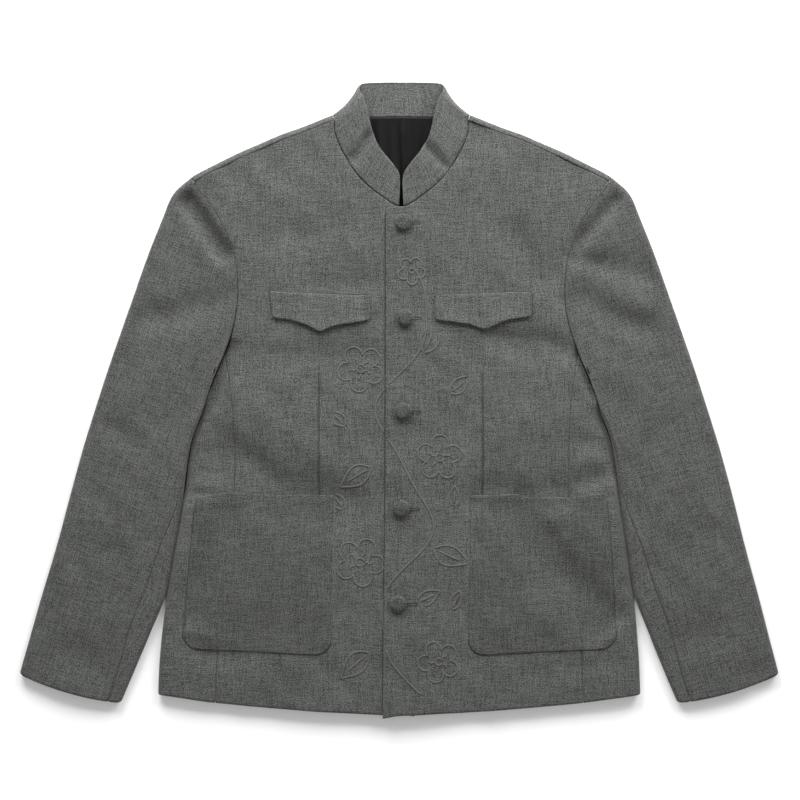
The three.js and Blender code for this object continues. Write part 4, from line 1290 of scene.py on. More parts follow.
        us = merged(grid_steps(0, neck_share, 0.035), grid_steps(neck_share, 1, 0.022))
        vs = merged(grid_steps(0, seam_share, 0.008), grid_steps(seam_share, 1, 0.012),
                    np.array([0.002, 0.005]))
        half = patch(hem, joined(neck, shoulder, neck_share), centre, outer, us, vs)
        over_top = math.pi - math.asin(SEAM_GAP / SHOULDER_RADIUS)
        turns = np.linspace(0, over_top, self.back_turns + 1)[1:]
        t = np.maximum(us - neck_share, 0) / (1 - neck_share)
        halves = []
        for side in (Side.RIGHT, Side.LEFT):
            lie = placed(side, half[..., 0], half[..., 1], 0.0)
            rise = sum(c.drop(lie[..., 0], lie[..., 1]) for c in BACK_CREASES)
            rise = np.abs(rise + BACK_SWELL.rise(lie[..., 0], lie[..., 1]) * 0.8)
            fade = smooth(vs, 0, 0.04)[:, None] * (1 - smooth(vs, 0.93, 1.0))[:, None]
            lie[..., 2] = rise * fade * (1 - smooth(us, 0.94, 1.0))
            rows = [lie]
            for angle in turns:
                inset = SHOULDER_RADIUS * (1 - math.sin(angle))
                turn = shoulder_point(t, np.full(len(t), inset)) + seam_clear(t)
                level = SHOULDER_RADIUS * (1 - math.cos(angle))
                rows.append(placed(side, turn[:, 0], turn[:, 1], level)[None])
            block = np.concatenate(rows)
            halves.append(block[:, ::-1] if side is Side.RIGHT else block)
        points = np.concatenate([halves[0][:, :-1], halves[1]], 1)
        over = np.zeros(len(vs) + len(turns))
        over[len(vs):] = SHOULDER_RADIUS * turns
        last_row = points[len(vs) - 1:len(vs)]
        base = np.concatenate([points[:len(vs)], np.repeat(last_row, len(turns), 0)])
        cut = plan(base[..., 0], base[..., 1] + over[:, None]) + CUT_FROM["back"]
        middle = len(us) - 1
        cell = np.abs(np.arange(2 * middle) + 0.5 - middle) - 0.5
        on_shoulder = us[cell.astype(int)] >= neck_share - 1e-6
        present = np.ones((len(over) - 1, 2 * middle), bool)
        present[len(vs) - 1:] = on_shoulder
        panel = Panel("back_cloth", points, cut, CLOTH_WALL, True, self.wear.wool, self.wear.satin,
                      free=(Edge.BOTTOM,), present=present, rests_on=("floor",))
        panel.roll(Edge.TOP, *SHOULDER_ROLL)
        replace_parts(panel.build(), "back")


# ---- Sleeves ---------------------------------------------------------------------------
def armhole_line(t: Array) -> Array:
    """The armhole seam from the underarm to the shoulder tip, as the sleeve meets it."""
    t = np.asarray(t, float)
    start = ARMHOLE_UPPER(np.array([0.0]))[0]
    lower = mix(np.array(UNDERARM), start, (t / ARMHOLE_SHARE)[..., None])
    upper = ARMHOLE_UPPER(np.clip((t - ARMHOLE_SHARE) / (ARMHOLE_TIP - ARMHOLE_SHARE), 0, 1))
    line = np.where((t < ARMHOLE_SHARE)[..., None], lower, upper)
    tip = SHOULDER_LINE(np.array([1.0]))[0]
    past = np.clip((t - ARMHOLE_TIP) / (1 - ARMHOLE_TIP), 0, 1)[..., None]
    return mix(line, tip, past) + np.array([SEAM_GAP, 0.0])


def sleeve_columns() -> dict[str, Table]:
    """The sleeve table's columns by name, each by row number."""
    return {name: column(SLEEVE, None, i) for i, name in enumerate(SLEEVE_COLUMNS)}


@dataclass
class Sleeves:
    """Two-piece sleeves, each a flattened tube."""

    wear: Wardrobe
    rows: int = 215
    lean: float = math.radians(18)
    tuck: float = 0.8
    slump: float = 0.5
    crown: float = 1.2
    seam_roll: tuple[float, float] = (0.8, 2.8)
    head_roll_at: tuple[float, ...] = (0, ARMHOLE_SHARE, 0.45, 0.8, 1)
    head_roll: tuple[float, ...] = (1.0, 4.6, 2.4, 0.8, 0.3)
    sections: dict[str, Table] = field(default_factory=sleeve_columns)

    def build(self) -> None:
        """Make both sleeves."""
        for side in Side:
            self.upper(side)
            self.under(side)

    def section(self, vs: Array) -> dict[str, Array]:
        """Sizes of the sections at v, 0 at the armhole and 1 at the cuff."""
        s = {name: table(vs * (len(SLEEVE) - 1))[:, None] for name, table in self.sections.items()}
        s["width"] = np.hypot(s["out_x"] - s["in_x"], s["out_y"] - s["in_y"])
        s["r_in"], s["r_out"] = s["loft_in"] / 2, s["loft_out"] / 2
        s["arc_in"], s["arc_out"] = s["r_in"] * math.pi / 2, s["r_out"] * math.pi / 2
        s["flat"] = s["width"] - s["r_in"] - s["r_out"]
        s["half"] = s["arc_in"] + s["flat"] + s["arc_out"]
        s["head"] = 1 - smooth(vs, 0, 0.38)[:, None]
        s["cuff"] = smooth(vs, 0.85, 1)[:, None]
        s["v"] = vs[:, None]
        return s

    def surface(self, side: Side, s: dict[str, Array], around: Array) -> tuple[Array, Array]:
        """The sleeve's outer face.

        Args:
            side: which sleeve.
            s: its sections.
            around: millimetres round each section from the inner fold, over the top first.

        Returns:
            Points, and where they lie in the cut.
        """
        past = around > 2 * s["half"]
        under = (around > s["half"]) & ~past
        turned = np.where(past, around - 2 * s["half"], around)
        turned = np.where(under, 2 * s["half"] - around, turned)
        sign = np.where(under, -1.0, 1.0)
        at_in, at_out = turned < s["arc_in"], turned > s["arc_in"] + s["flat"]
        angle = np.where(at_out, (s["half"] - turned) / s["r_out"], math.pi / 2)
        angle = np.where(at_in, turned / s["r_in"], angle)
        along = np.where(at_in, s["r_in"] * (1 - np.cos(angle)),
                         np.where(at_out, s["width"] - s["r_out"] * (1 - np.cos(angle)),
                                  s["r_in"] + turned - s["arc_in"]))
        fall = np.degrees(-sign * angle)
        ledge = smooth(fall, -30, 30) * (1 - 0.45 * smooth(fall, 30, 90)) * at_in
        reach = self.tuck * smooth(s["v"], 0.1, 0.22) * (1 - smooth(s["v"], 0.72, 0.82))
        u = (along - ledge * reach) / s["width"]
        chord = plan(mix(s["in_x"], s["out_x"], u), mix(s["in_y"], s["out_y"], u))
        row = SLEEVE[0]
        held = np.clip(u, 0, 1)
        head_chord = plan(mix(row[0], row[2], held), mix(row[1], row[3], held))
        bulge = (armhole_line(held) - head_chord) * s["head"][..., None]
        dip = CUFF_DIP * s["cuff"] * np.sin(np.pi * held) ** 0.7
        place = chord + bulge - plan(0.0, dip)
        points = placed(side, place[..., 0], place[..., 1], 0.0)
        points[..., 2] = self.height(points, s, turned, angle, sign, at_in, at_out)
        beneath = np.where(past, 2 * s["half"] - around, turned)
        spread = np.where(around[:, -1:] > 2 * s["half"], beneath, around)
        cut = self.on_grain(side, place, s, spread - along)
        return points, cut

    def height(self, points: Array, s: dict[str, Array], turned: Array, angle: Array, sign: Array,
               at_in: Array, at_out: Array) -> Array:
        """Heights of the outer face: flat underneath, lofted on top, round at the folds."""
        x, y = points[..., 0], points[..., 1]
        in_flat = np.clip(turned - s["arc_in"], 0, s["flat"])
        t = in_flat / s["flat"]
        own = 2 * mix(s["r_in"], s["r_out"], smooth(t, 0, 1))
        own = own + self.crown * (1 - s["head"]) * np.sin(math.pi * t)
        near = np.minimum(in_flat, s["flat"] - in_flat)
        edge = smooth(near, 0, 24)
        sunk = creased(x, y) * smooth(near, 0, 12) - CLOTH_SWELL.rise(x, y) * smooth(near, 0, 16)
        top = mix(own, mix(own, loft(y), edge), s["head"]) - sunk
        radius = np.where(at_in, s["r_in"], s["r_out"])
        rounded = radius * (1 + sign * np.sin(angle))
        below = np.abs(BACK_SWELL.rise(x, y)) * edge
        underarm = (1 - smooth(s["v"], 0, 0.08)) * (1 - smooth(in_flat, 0, 30)) * ~at_out
        slump = 1 - self.slump * underarm
        return np.where(at_in | at_out, rounded * slump, np.where(sign > 0, top * slump, below))

    def on_grain(self, side: Side, place: Array, s: dict[str, Array], round_off: Array) -> Array:
        """Unroll a sleeve's points and turn them so that the grain runs down the arm."""
        across = unit(plan(s["out_x"] - s["in_x"], s["out_y"] - s["in_y"]))
        flat = place + across * round_off[..., None]
        c, n = math.cos(self.lean), math.sin(self.lean)
        x = c * flat[..., 0] + n * flat[..., 1]
        y = -n * flat[..., 0] + c * flat[..., 1]
        return plan(side.value * x, y) + CUT_FROM["sleeve"]

    def stations(self, s: dict[str, Array], start: Array, end: Array, count: int,
                 folds: Sequence[tuple[Array, Array]]) -> Array:
        """Places round each section, closer together at the folds."""
        share = np.linspace(0, 1, count)
        even = start + (end - start) * share
        weight = np.ones_like(even)
        for middle, reach in folds:
            weight = weight + 2.2 * np.exp(-(((even - middle) / reach) ** 2))
        run = np.cumsum((weight[:, 1:] + weight[:, :-1]) / 2, axis=1)
        run = np.concatenate([np.zeros((len(run), 1)), run], 1)
        run /= run[:, -1:]
        return np.stack([np.interp(share, r, e) for r, e in zip(run, even)])

    def upper(self, side: Side) -> None:
        """The upper sleeve: the top, and round the outer fold."""
        vs = merged(grid_steps(0, 1, 1 / self.rows), np.array([0.0015, 0.003, 0.006]),
                    1 - np.array([0.002, 0.004]))
        s = self.section(vs)
        start = s["seam"] + SEAM_GAP
        end = s["half"] + s["arc_out"] + SLEEVE_WRAP - SEAM_GAP
        around = self.stations(s, start, end, 92, ((s["half"], 9.0), (s["arc_in"], 9.0)))
        points, cut = self.surface(side, s, around)
        # The sleeves take the shaded copy of the body wool: painted shade.
        panel = Panel(f"top_sleeve_{side.label}_cloth", points, cut, CLOTH_WALL,
                      side is Side.LEFT, self.wear.sleeve, self.wear.satin, free=(Edge.TOP,),
                      rests_on=(f"under_sleeve_{side.label}_cloth", "floor"))
        share = np.clip((around[0] - s["arc_in"][0]) / s["flat"][0], 0, 1)
        deep = np.interp(share, self.head_roll_at, self.head_roll)
        deep = deep * smooth(around[0], s["arc_in"][0] - 2, s["arc_in"][0] + 8)
        panel.roll(Edge.BOTTOM, np.where(around[0] > s["half"][0] - 6, 0.2, deep), 5.5)
        panel.roll(Edge.TOP, *CUFF_ROLL)
        depth, reach = self.seam_roll
        panel.roll(Edge.LEFT, depth * smooth(vs, 0.5, 0.62), reach)
        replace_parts(panel.build(), f"top_sleeve_{side.label}")

    def under(self, side: Side) -> None:
        """The under sleeve: beneath, and round the inner fold."""
        vs = merged(grid_steps(0, 1, 1 / 170), 1 - np.array([0.002, 0.004]))
        s = self.section(vs)
        start = s["half"] + s["arc_out"] + SLEEVE_WRAP + SEAM_GAP
        end = 2 * s["half"] + s["seam"] - SEAM_GAP
        fold = 2 * s["half"]
        around = self.stations(s, start, end, 58, ((fold, 14.0),))
        points, cut = self.surface(side, s, around)
        panel = Panel(f"under_sleeve_{side.label}_cloth", points, cut, CLOTH_WALL,
                      side is Side.LEFT, self.wear.sleeve, self.wear.satin, free=(Edge.TOP,),
                      rests_on=("floor",))
        panel.roll(Edge.TOP, *CUFF_ROLL)
        depth, reach = self.seam_roll
        panel.roll(Edge.RIGHT, depth * smooth(vs, 0.5, 0.62), reach)
        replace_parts(panel.build(), f"under_sleeve_{side.label}")


# ---- Collar and lining --------------------------------------------------------------------
@dataclass
class Collar:
    """The stand collar, one band from front end to front end."""

    wear: Wardrobe
    dents: tuple[Crease, ...] = (
        Crease(((-30, 310), (-41, 291), (-57, 268)), 4.6, 7.0, 0.25),
        Crease(((26, 297), (40, 281), (58, 261)), 4.8, 6.5, 0.25),
        Crease(((-60, 330), (-52, 312), (-70, 292)), 0.8, 8),
    )
    turns: int = 7
    turn_from: float = 60.0
    turn_by: float = 150.0
    edge_at: tuple[float, float] = (45.0, 352.0)
    edge_bow: tuple[float, float] = (5.0, 11.8)
    edge_radius: float = 9.5
    turn_waist: float = 3.0

    def lines(self, side: Side) -> Array:
        """Generators of one half: foot x, y, z, edge x, y, z and waist."""
        made = []
        for foot_x, foot_y, edge_x, edge_y, edge_z, waist in COLLAR:
            x, y = foot_x - SEAM_GAP, foot_y + SEAM_GAP
            world = placed(side, np.array(x), np.array(y), 0.0)
            foot_z = float(front_top(side, world[0], world[1]))
            made.append((x, y, foot_z, edge_x, edge_y, edge_z + foot_z - SHOULDER_LOFT, waist))
        normal = shoulder_normal(np.array(0.0))
        for share in np.linspace(0, 1, self.turns):
            angle = math.radians(self.turn_from - self.turn_by * share)
            c, rise = math.cos(angle), 1 + math.sin(angle)
            foot = np.array(NECK_SIDE) + normal * SHOULDER_RADIUS * c
            made.append((foot[0] - 2 * SEAM_GAP, foot[1] + SEAM_GAP, SHOULDER_RADIUS * rise,
                         self.edge_at[0] + self.edge_bow[0] * c,
                         self.edge_at[1] + self.edge_bow[1] * math.sin(share * math.pi / 2),
                         self.edge_radius * rise, self.turn_waist))
        for foot_x, foot_y, edge_x, edge_y, waist in COLLAR_BACK:
            made.append((max(foot_x - SEAM_GAP, 0), foot_y + SEAM_GAP, 0, edge_x, edge_y, 0, waist))
        return np.array(made, float)

    def half(self, side: Side, up: Array) -> Array:
        """Points of one half, from the front end to the centre back."""
        lines = self.lines(side)
        rows = tuple(tuple(line) for line in lines)
        at = merged(grid_steps(0, len(lines) - 1, 1 / 8), np.array([0.05, 0.1]))
        fx, fy, fz, ex, ey, ez, waist = (column(rows, None, i)(at)[:, None] for i in range(7))
        bow = 4 * up * (1 - up)
        x = mix(fx, ex, up) - waist * bow
        y = mix(fy, ey, up) - waist * bow * 0.4
        points = placed(side, x, y, mix(fz, ez, up))
        lying = smooth(points[..., 2], 8, 13)
        dent = sum(c.drop(points[..., 0], points[..., 1]) for c in self.dents)
        points[..., 2] += lying * (1.0 * bow * smooth(at, 2, 5)[:, None] - dent)
        return points

    def build(self) -> None:
        """Make the band."""
        up = merged(np.linspace(0, 1, 19), np.array([0.02, 0.96, 0.98]))
        left, right = self.half(Side.LEFT, up), self.half(Side.RIGHT, up)
        points = np.concatenate([left, right[:-1][::-1]])
        middle = points[:, len(up) // 2]
        run = run_of(middle)
        steps = np.diff(points, axis=1, prepend=points[:, :1])
        rise = np.cumsum(np.linalg.norm(steps, axis=2), axis=1)
        cut = plan(np.broadcast_to(run[:, None], rise.shape), rise)
        # The band takes the lightened copy of the body wool: painted light.
        panel = Panel("collar_band", points, cut, COLLAR_WALL, True, self.wear.collar,
                      self.wear.collar, free=(Edge.TOP, Edge.BOTTOM, Edge.RIGHT),
                      rests_on=("front_left_cloth", "front_right_cloth", "floor"))
        on_top = smooth(points[:, 0, 2], 9, 13)
        panel.roll(Edge.LEFT, 1.1 * on_top + 0.1, 2.6)
        panel.roll(Edge.RIGHT, 0.5, 2.2)
        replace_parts(panel.build(), "collar")


@dataclass
class Lining:
    """The back lining below the neck, with its centre pleat."""

    wear: Wardrobe
    bottom: float = 208.0
    half_bottom: float = 40.0
    half_top: float = 64.0
    gap: float = 0.3
    pleats: Rows = ((4.5, 3.2, 3.0), (11, 1.6, 2.8), (-8, 1.2, 4.0), (22, 1.3, 4.5),
                    (-22, 1.5, 4.5), (-38, 1.3, 5.0), (37, 1.3, 5.0))

    def build(self) -> None:
        """Make the panel; its rows run up from the chest to the neck seam."""
        top = column(BACK_NECK, 0, 1)
        us, vs = np.linspace(-1, 1, 111), np.linspace(0, 1, 56)
        u, v = np.meshgrid(us, vs)
        half = mix(self.half_bottom, self.half_top, v)
        x = np.abs(u) * half
        y = mix(self.bottom, top(x) - self.gap, v)
        points = placed(Side.LEFT, np.sign(u) * x, y, CLOTH_WALL + self.gap + LINING_WALL)
        sway = 2.2 * np.sin(v * 4.4 + 0.6)
        for centre, depth, width in self.pleats:
            place = (points[..., 0] - centre - sway * (1 - 0.4 * v)) / width
            points[..., 2] += depth * np.exp(-(place**2)) * (1 - 0.45 * smooth(v, 0.8, 1.0))
        panel = Panel("lining_back_cloth", points, points[..., :2].copy(), LINING_WALL, False,
                      self.wear.satin, self.wear.satin, slot="satin_lining",
                      rests_on=("back_cloth",))
        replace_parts(panel.build(), "lining_back")


# ---- What lies on the fronts ------------------------------------------------------------------
FLAP_LOWER: dict[Side, Rows] = {
    Side.LEFT: ((38.5, 98), (38.9, 94.5), (42.5, 91.6), (55, 90.2), (68, 88.4), (81.2, 86),
                (95.6, 81.3), (110, 87.2), (127, 93), (143, 95.2), (148.5, 97), (149.6, 100.5)),
    Side.RIGHT: ((35.5, 98.5), (35.3, 95.5), (38.6, 91.8), (51, 89.4), (72.9, 86.2), (84, 82.6),
                 (92.8, 79.2), (102, 83), (113, 87.6), (128, 92), (144, 94), (148.2, 97.4)),
}
FLAP_TOP_X = {Side.LEFT: (39.5, 149.3), Side.RIGHT: (37.6, 149.2)}


@dataclass
class Patches:
    """Chest flaps and patch pockets."""

    wear: Wardrobe
    flap_lower: dict[Side, Rows] = field(default_factory=FLAP_LOWER.copy)
    flap_top: tuple[float, float] = (120.0, 124.3)
    flap_top_x: dict[Side, tuple[float, float]] = field(default_factory=FLAP_TOP_X.copy)
    flap_stand: tuple[float, float, float] = (2.3, 0.7, 0.5)
    pocket_x: tuple[float, float, float] = (79.0, 234.5, 248.5)
    pocket_top: tuple[float, float] = (-110.0, -109.0)
    pocket_bottom: tuple[float, float] = (-292.0, -285.5)
    pocket_length: float = 180.0
    pocket_flare: float = 0.75
    corner: float = 17.0

    def build(self) -> None:
        """Make the four patches."""
        for side in Side:
            self.flap(side)
            self.pocket(side)

    def flap(self, side: Side) -> None:
        """One flap, sewn along its top and standing a little proud at its point."""
        lower = through(self.flap_lower[side])
        us = np.linspace(0, 1, 84)
        vs = merged(np.linspace(0, 1, 22), np.array([0.015, 0.03, 0.985]))
        first, last = self.flap_top_x[side]
        top = plan(mix(first, last, us), mix(*self.flap_top, us))
        place = mix(lower(us)[None], top[None], vs[:, None, None])
        points = placed(side, place[..., 0], place[..., 1], 0.0)
        lie = front_top(side, points[..., 0], points[..., 1])
        middle, wave, ends = self.flap_stand
        lift = middle + wave * np.sin(us * 7.0 + side.value)
        lift = lift * np.sin(math.pi * us) ** 0.5 + ends
        points[..., 2] = lie + LAID_GAP + PATCH_WALL + lift * (1 - vs[:, None]) ** 2.2
        cut = points[..., :2] + CUT_FROM["flap"]
        panel = Panel(f"flap_{side.label}_cloth", points, cut, PATCH_WALL, side is Side.RIGHT,
                      self.wear.wool, self.wear.wool, free=tuple(Edge),
                      rests_on=(f"front_{side.label}_cloth",))
        panel.roll(Edge.TOP, 0.9, 2.2)
        panel.roll(Edge.BOTTOM, 0.5, 2.0)
        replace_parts(panel.build(), f"flap_{side.label}")

    def pocket(self, side: Side) -> None:
        """One patch pocket: sewn down on three sides, with a loose mouth."""
        inner, outer_top, outer_bottom = self.pocket_x
        us = merged(np.linspace(0, 1, 66), np.array([0.006, 0.012, 0.988, 0.994]))
        corner = self.corner * (1 - np.cos(np.linspace(0, math.pi / 2, 12)))
        length = self.pocket_length
        up = merged(corner / length, grid_steps(self.corner / length, 1, 2.7 / length),
                    np.array([0.99, 0.995]))
        u, v = np.meshgrid(us, up)
        below = np.maximum(self.corner - v * length, 0)
        inset = self.corner - np.sqrt(np.maximum(self.corner**2 - below**2, 0))
        right = mix(outer_top, outer_bottom, (1 - v) ** self.pocket_flare)
        x = mix(inner + inset, right - inset, u)
        y = mix(mix(*self.pocket_bottom, u), mix(*self.pocket_top, u) + self.mouth_dip(side, x), v)
        points = placed(side, x, y, 0.0)
        lie = front_top(side, points[..., 0], points[..., 1])
        gape = self.mouth_gape(side, x) * smooth(v, 0.86, 1.0) ** 1.6
        points[..., 2] = lie + LAID_GAP + PATCH_WALL * 0.6 + gape
        cut = points[..., :2] + CUT_FROM["pocket"]
        # The pocket takes the shaded copy of the body wool: painted shade.
        panel = Panel(f"pocket_{side.label}_cloth", points, cut, PATCH_WALL, side is Side.RIGHT,
                      self.wear.pocket, self.wear.pocket, free=tuple(Edge),
                      rests_on=(f"front_{side.label}_cloth", f"side_{side.label}_cloth"))
        sunk = {Edge.LEFT: 1.1, Edge.RIGHT: 1.1, Edge.BOTTOM: 0.9, Edge.TOP: 0.3}
        for edge, depth in sunk.items():
            panel.roll(edge, depth, 2.6)
        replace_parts(panel.build(), f"pocket_{side.label}")

    @staticmethod
    def mouth_dip(side: Side, x: Array) -> Array:
        """How far the mouth's edge departs from its line in plan."""
        if side is Side.LEFT:
            sag = -4.4 * smooth(x, 132, 150) * (1 - smooth(x, 190, 230))
            return sag + 1.2 * smooth(x, 90, 130)
        return 2.6 * np.exp(-(((x - 192) / 24) ** 2)) - 1.6 * smooth(x, 210, 235)

    @staticmethod
    def mouth_gape(side: Side, x: Array) -> Array:
        """How far the mouth stands off the front."""
        if side is Side.LEFT:
            return 0.7 + 2.0 * np.exp(-(((x - 136) / 11) ** 2))
        return 0.6 + 0.8 * np.exp(-(((x - 190) / 26) ** 2))


@dataclass
class Buttons:
    """Covered buttons and the worked buttonholes that they close."""

    wear: Wardrobe
    radius: float = 9.9
    height: float = 7.0
    foot: float = 7.3
    brim: float = 2.4
    gather: float = 0.18
    gathers: int = 14
    turns: int = 56
    hole_end: float = 23.0
    hole_width: float = 2.6

    def build(self) -> None:
        """Make the five buttons and their buttonholes."""
        for number, (x, y) in enumerate(BUTTONS, 1):
            self.button(number, x, y)
        self.holes()

    def profile(self) -> Array:
        """The button's half section: foot, rolled brim and flat-topped dome."""
        angles = np.radians(np.linspace(-70, 90, 20))
        radius = self.radius * np.cos(angles) ** np.where(angles < 0, 0.55, 0.42)
        dome = (self.height - self.brim) * np.maximum(np.sin(angles), 0) ** 1.15
        height = self.brim + np.where(angles < 0, self.brim * np.sin(angles), dome)
        return np.concatenate([[(0, 0), (self.foot, 0)], np.stack([radius, height], 1)])

    def button(self, number: int, x: float, y: float) -> None:
        """One button, its cover pulled into small gathers under the brim."""
        profile = self.profile()
        turn = np.linspace(0, 2 * math.pi, self.turns, endpoint=False)
        level = float(front_top(Side.LEFT, np.array(x), np.array(y))) + LAID_GAP * 0.5
        gather = self.gather * np.sin(turn * self.gathers + number)
        verts, flat = [], []
        for r, z in profile:
            low = 1 - smooth(z, self.brim * 0.3, self.brim * 1.3)
            ring = r + gather * low * (r > self.foot)
            spread = ring + max(self.brim - z, 0)
            grain = turn + number * 1.3
            verts.append(np.stack([x + ring * np.cos(turn), y + ring * np.sin(turn),
                                   np.full_like(turn, level + z)], 1))
            flat.append(np.stack([spread * np.cos(grain), spread * np.sin(grain)], 1))
        count = self.turns
        faces = []
        for ring in range(len(profile) - 1):
            for k in range(count):
                a, b = ring * count + k, ring * count + (k + 1) % count
                faces.append((a, b, b + count, a + count))
        # The cover is the shaded copy of the body wool: painted shade.
        obj = fixed(f"covered_button_{number}", np.concatenate(verts), faces,
                    np.concatenate(flat) + number * 31.0, self.wear.button)
        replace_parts(obj, f"button_{number}")

    def holes(self) -> None:
        """The buttonholes' purled rims, running out past the buttons' wearer-left sides. They take the
        near-black thread of the painted shadow lines, so their darkness is partly painted shade of the uncut
        slits.
        """
        paths = []
        half = self.hole_width / 2
        for x, y in BUTTONS:
            end = self.hole_end - (BUTTONS[0][0] - x) * 0.5
            turn = np.linspace(-math.pi / 2, math.pi / 2, 9)
            middle = y - 0.6
            far = plan(end + half * np.cos(turn), middle + half * np.sin(turn))
            start = x + 3.0
            low = plan(grid_steps(start, end, 1.0), middle - half)
            high = plan(grid_steps(end, start, 1.0), middle + half)
            paths.append(np.concatenate([low[:-1], far, high[1:]]))
        Cord(0.6, 0.45).build("buttonhole_rims", paths, Side.LEFT, self.wear.seam)


# ---- Raised cord work ------------------------------------------------------------------------
@dataclass(frozen=True)
class Cord:
    """A raised cord laid along paths on the cloth, as a low half-round ridge.

    Its foot is sunk a little into the cloth, and it closes along a line at its root.
    """

    radius: float = 1.15
    rise: float = 0.85
    sunk: float = 0.25
    root: float = 0.6
    taper: tuple[float, float] = (-0.6, 1.6)
    facets: int = 6

    def build(self, name: str, paths: list[Array], side: Side,
              finish: bpy.types.Material) -> bpy.types.Object:
        """Make one piece of all the paths.

        Args:
            name: the piece's name.
            paths: plan points along each run of cord.
            side: the front that they lie on.
            finish: the thread's material.

        Returns:
            The piece, riding on the jacket.
        """
        angles = np.linspace(0, math.pi, self.facets + 1)
        rings = self.facets + 2
        verts, flat, faces = [], [], []
        base = 0
        for path in paths:
            along = unit(np.gradient(path, axis=0))
            across = np.stack([along[:, 1], -along[:, 0]], 1)
            run = run_of(path)
            thin = smooth(run, *self.taper) * smooth(run[-1] - run, *self.taper)
            level = front_top(side, path[:, 0], path[:, 1])
            for angle in angles:
                place = path + across * (self.radius * thin * math.cos(angle))[:, None]
                z = level - self.sunk + (self.rise + self.sunk) * thin * math.sin(angle)
                verts.append(np.concatenate([place, z[:, None]], 1))
                flat.append(plan(run, self.radius * math.cos(angle)))
            verts.append(np.concatenate([path, (level - self.root)[:, None]], 1))
            flat.append(plan(run, 0.0))
            size = len(path)
            for j in range(rings):
                k = (j + 1) % rings
                for i in range(size - 1):
                    a, b = base + j * size + i, base + k * size + i
                    faces.append((a, b, b + 1, a + 1))
            for i in (0, size - 1):
                cap = [base + j * size + i for j in range(rings)]
                faces.append(tuple(cap if i else cap[::-1]))
            base += size * rings
        return fixed(name, np.concatenate(verts), faces, np.concatenate(flat), finish)


@dataclass
class StitchAndShadowLines:
    """Fine near-black rows of thread along the flaps, the pockets and the darts, and beside the upper
    front's edge: partly sewn rows, made dark as painted shadow lines at these edges; beside the front's edge
    they are only painted shadow.
    """

    wear: Wardrobe
    patches: Patches
    body: Body
    radius: float = 0.62
    rise: float = 0.34
    dart_share: float = 0.3
    outside: float = 0.45

    def flap(self, side: Side) -> Array:
        """Up one end of a flap, along its top and down the other end."""
        first, last = self.patches.flap_top_x[side]
        low, high = self.patches.flap_top
        end = self.outside
        return spaced(np.array([(first - end, low - 17), (first - end, low + end),
                                (last + end, high + end), (last + end + 0.2, high - 19)]))

    def pocket(self, side: Side) -> Array:
        """Down one side of a pocket, round its bottom and up the other."""
        patches = self.patches
        inner, top_x, bottom_x = patches.pocket_x
        radius = patches.corner
        turn = np.linspace(0, math.pi / 2, 12)
        rise, inset = radius * (1 - np.sin(turn)), radius * (1 - np.cos(turn))
        low, high = patches.pocket_bottom
        down = np.linspace(0, 1, 60)
        right = mix(top_x, bottom_x, down**patches.pocket_flare)
        top = patches.pocket_top[0] - 2
        left = inner - self.outside
        outer = plan(right + self.outside, mix(top, high + radius, down))
        first = plan(bottom_x + self.outside - inset, high + rise)
        second = plan(left + rise[::-1], low - self.outside + inset[::-1])
        return spaced(np.concatenate([outer, first[1:], second, [(left, top)]]))

    def dart(self, side: Side) -> Array:
        """A waist dart's seam."""
        x = self.body.dart_x[0 if side is Side.LEFT else 1]
        return spaced(np.array([(x, self.body.dart_from - 12), (x, self.body.dart_to + 4)]))

    def front_edge(self) -> Array:
        """Beside the edge of the upper front, on the lower one: a painted shadow line, with no seam there.
        """
        return spaced(np.array([(OVERLAP + 1.7, HEM_Y(OVERLAP) + 6), (OVERLAP + 1.2, 214.0)]))

    def build(self) -> None:
        """Lay the rows on both fronts."""
        for side in Side:
            # Every row takes the near-black thread: painted shadow lines along these edges.
            drawn = [self.flap(side), self.pocket(side)]
            if side is Side.RIGHT:
                drawn.append(self.front_edge())
            fine = self.radius * self.dart_share
            for name, rows, radius in (("stitch_shadow_rows", drawn, self.radius),
                                       ("dart_shadow_row", [self.dart(side)], fine)):
                paths = [placed(side, row[:, 0], row[:, 1], 0.0)[:, :2] for row in rows]
                Cord(radius, self.rise).build(f"{name}_{side.label}", paths, side, self.wear.seam)


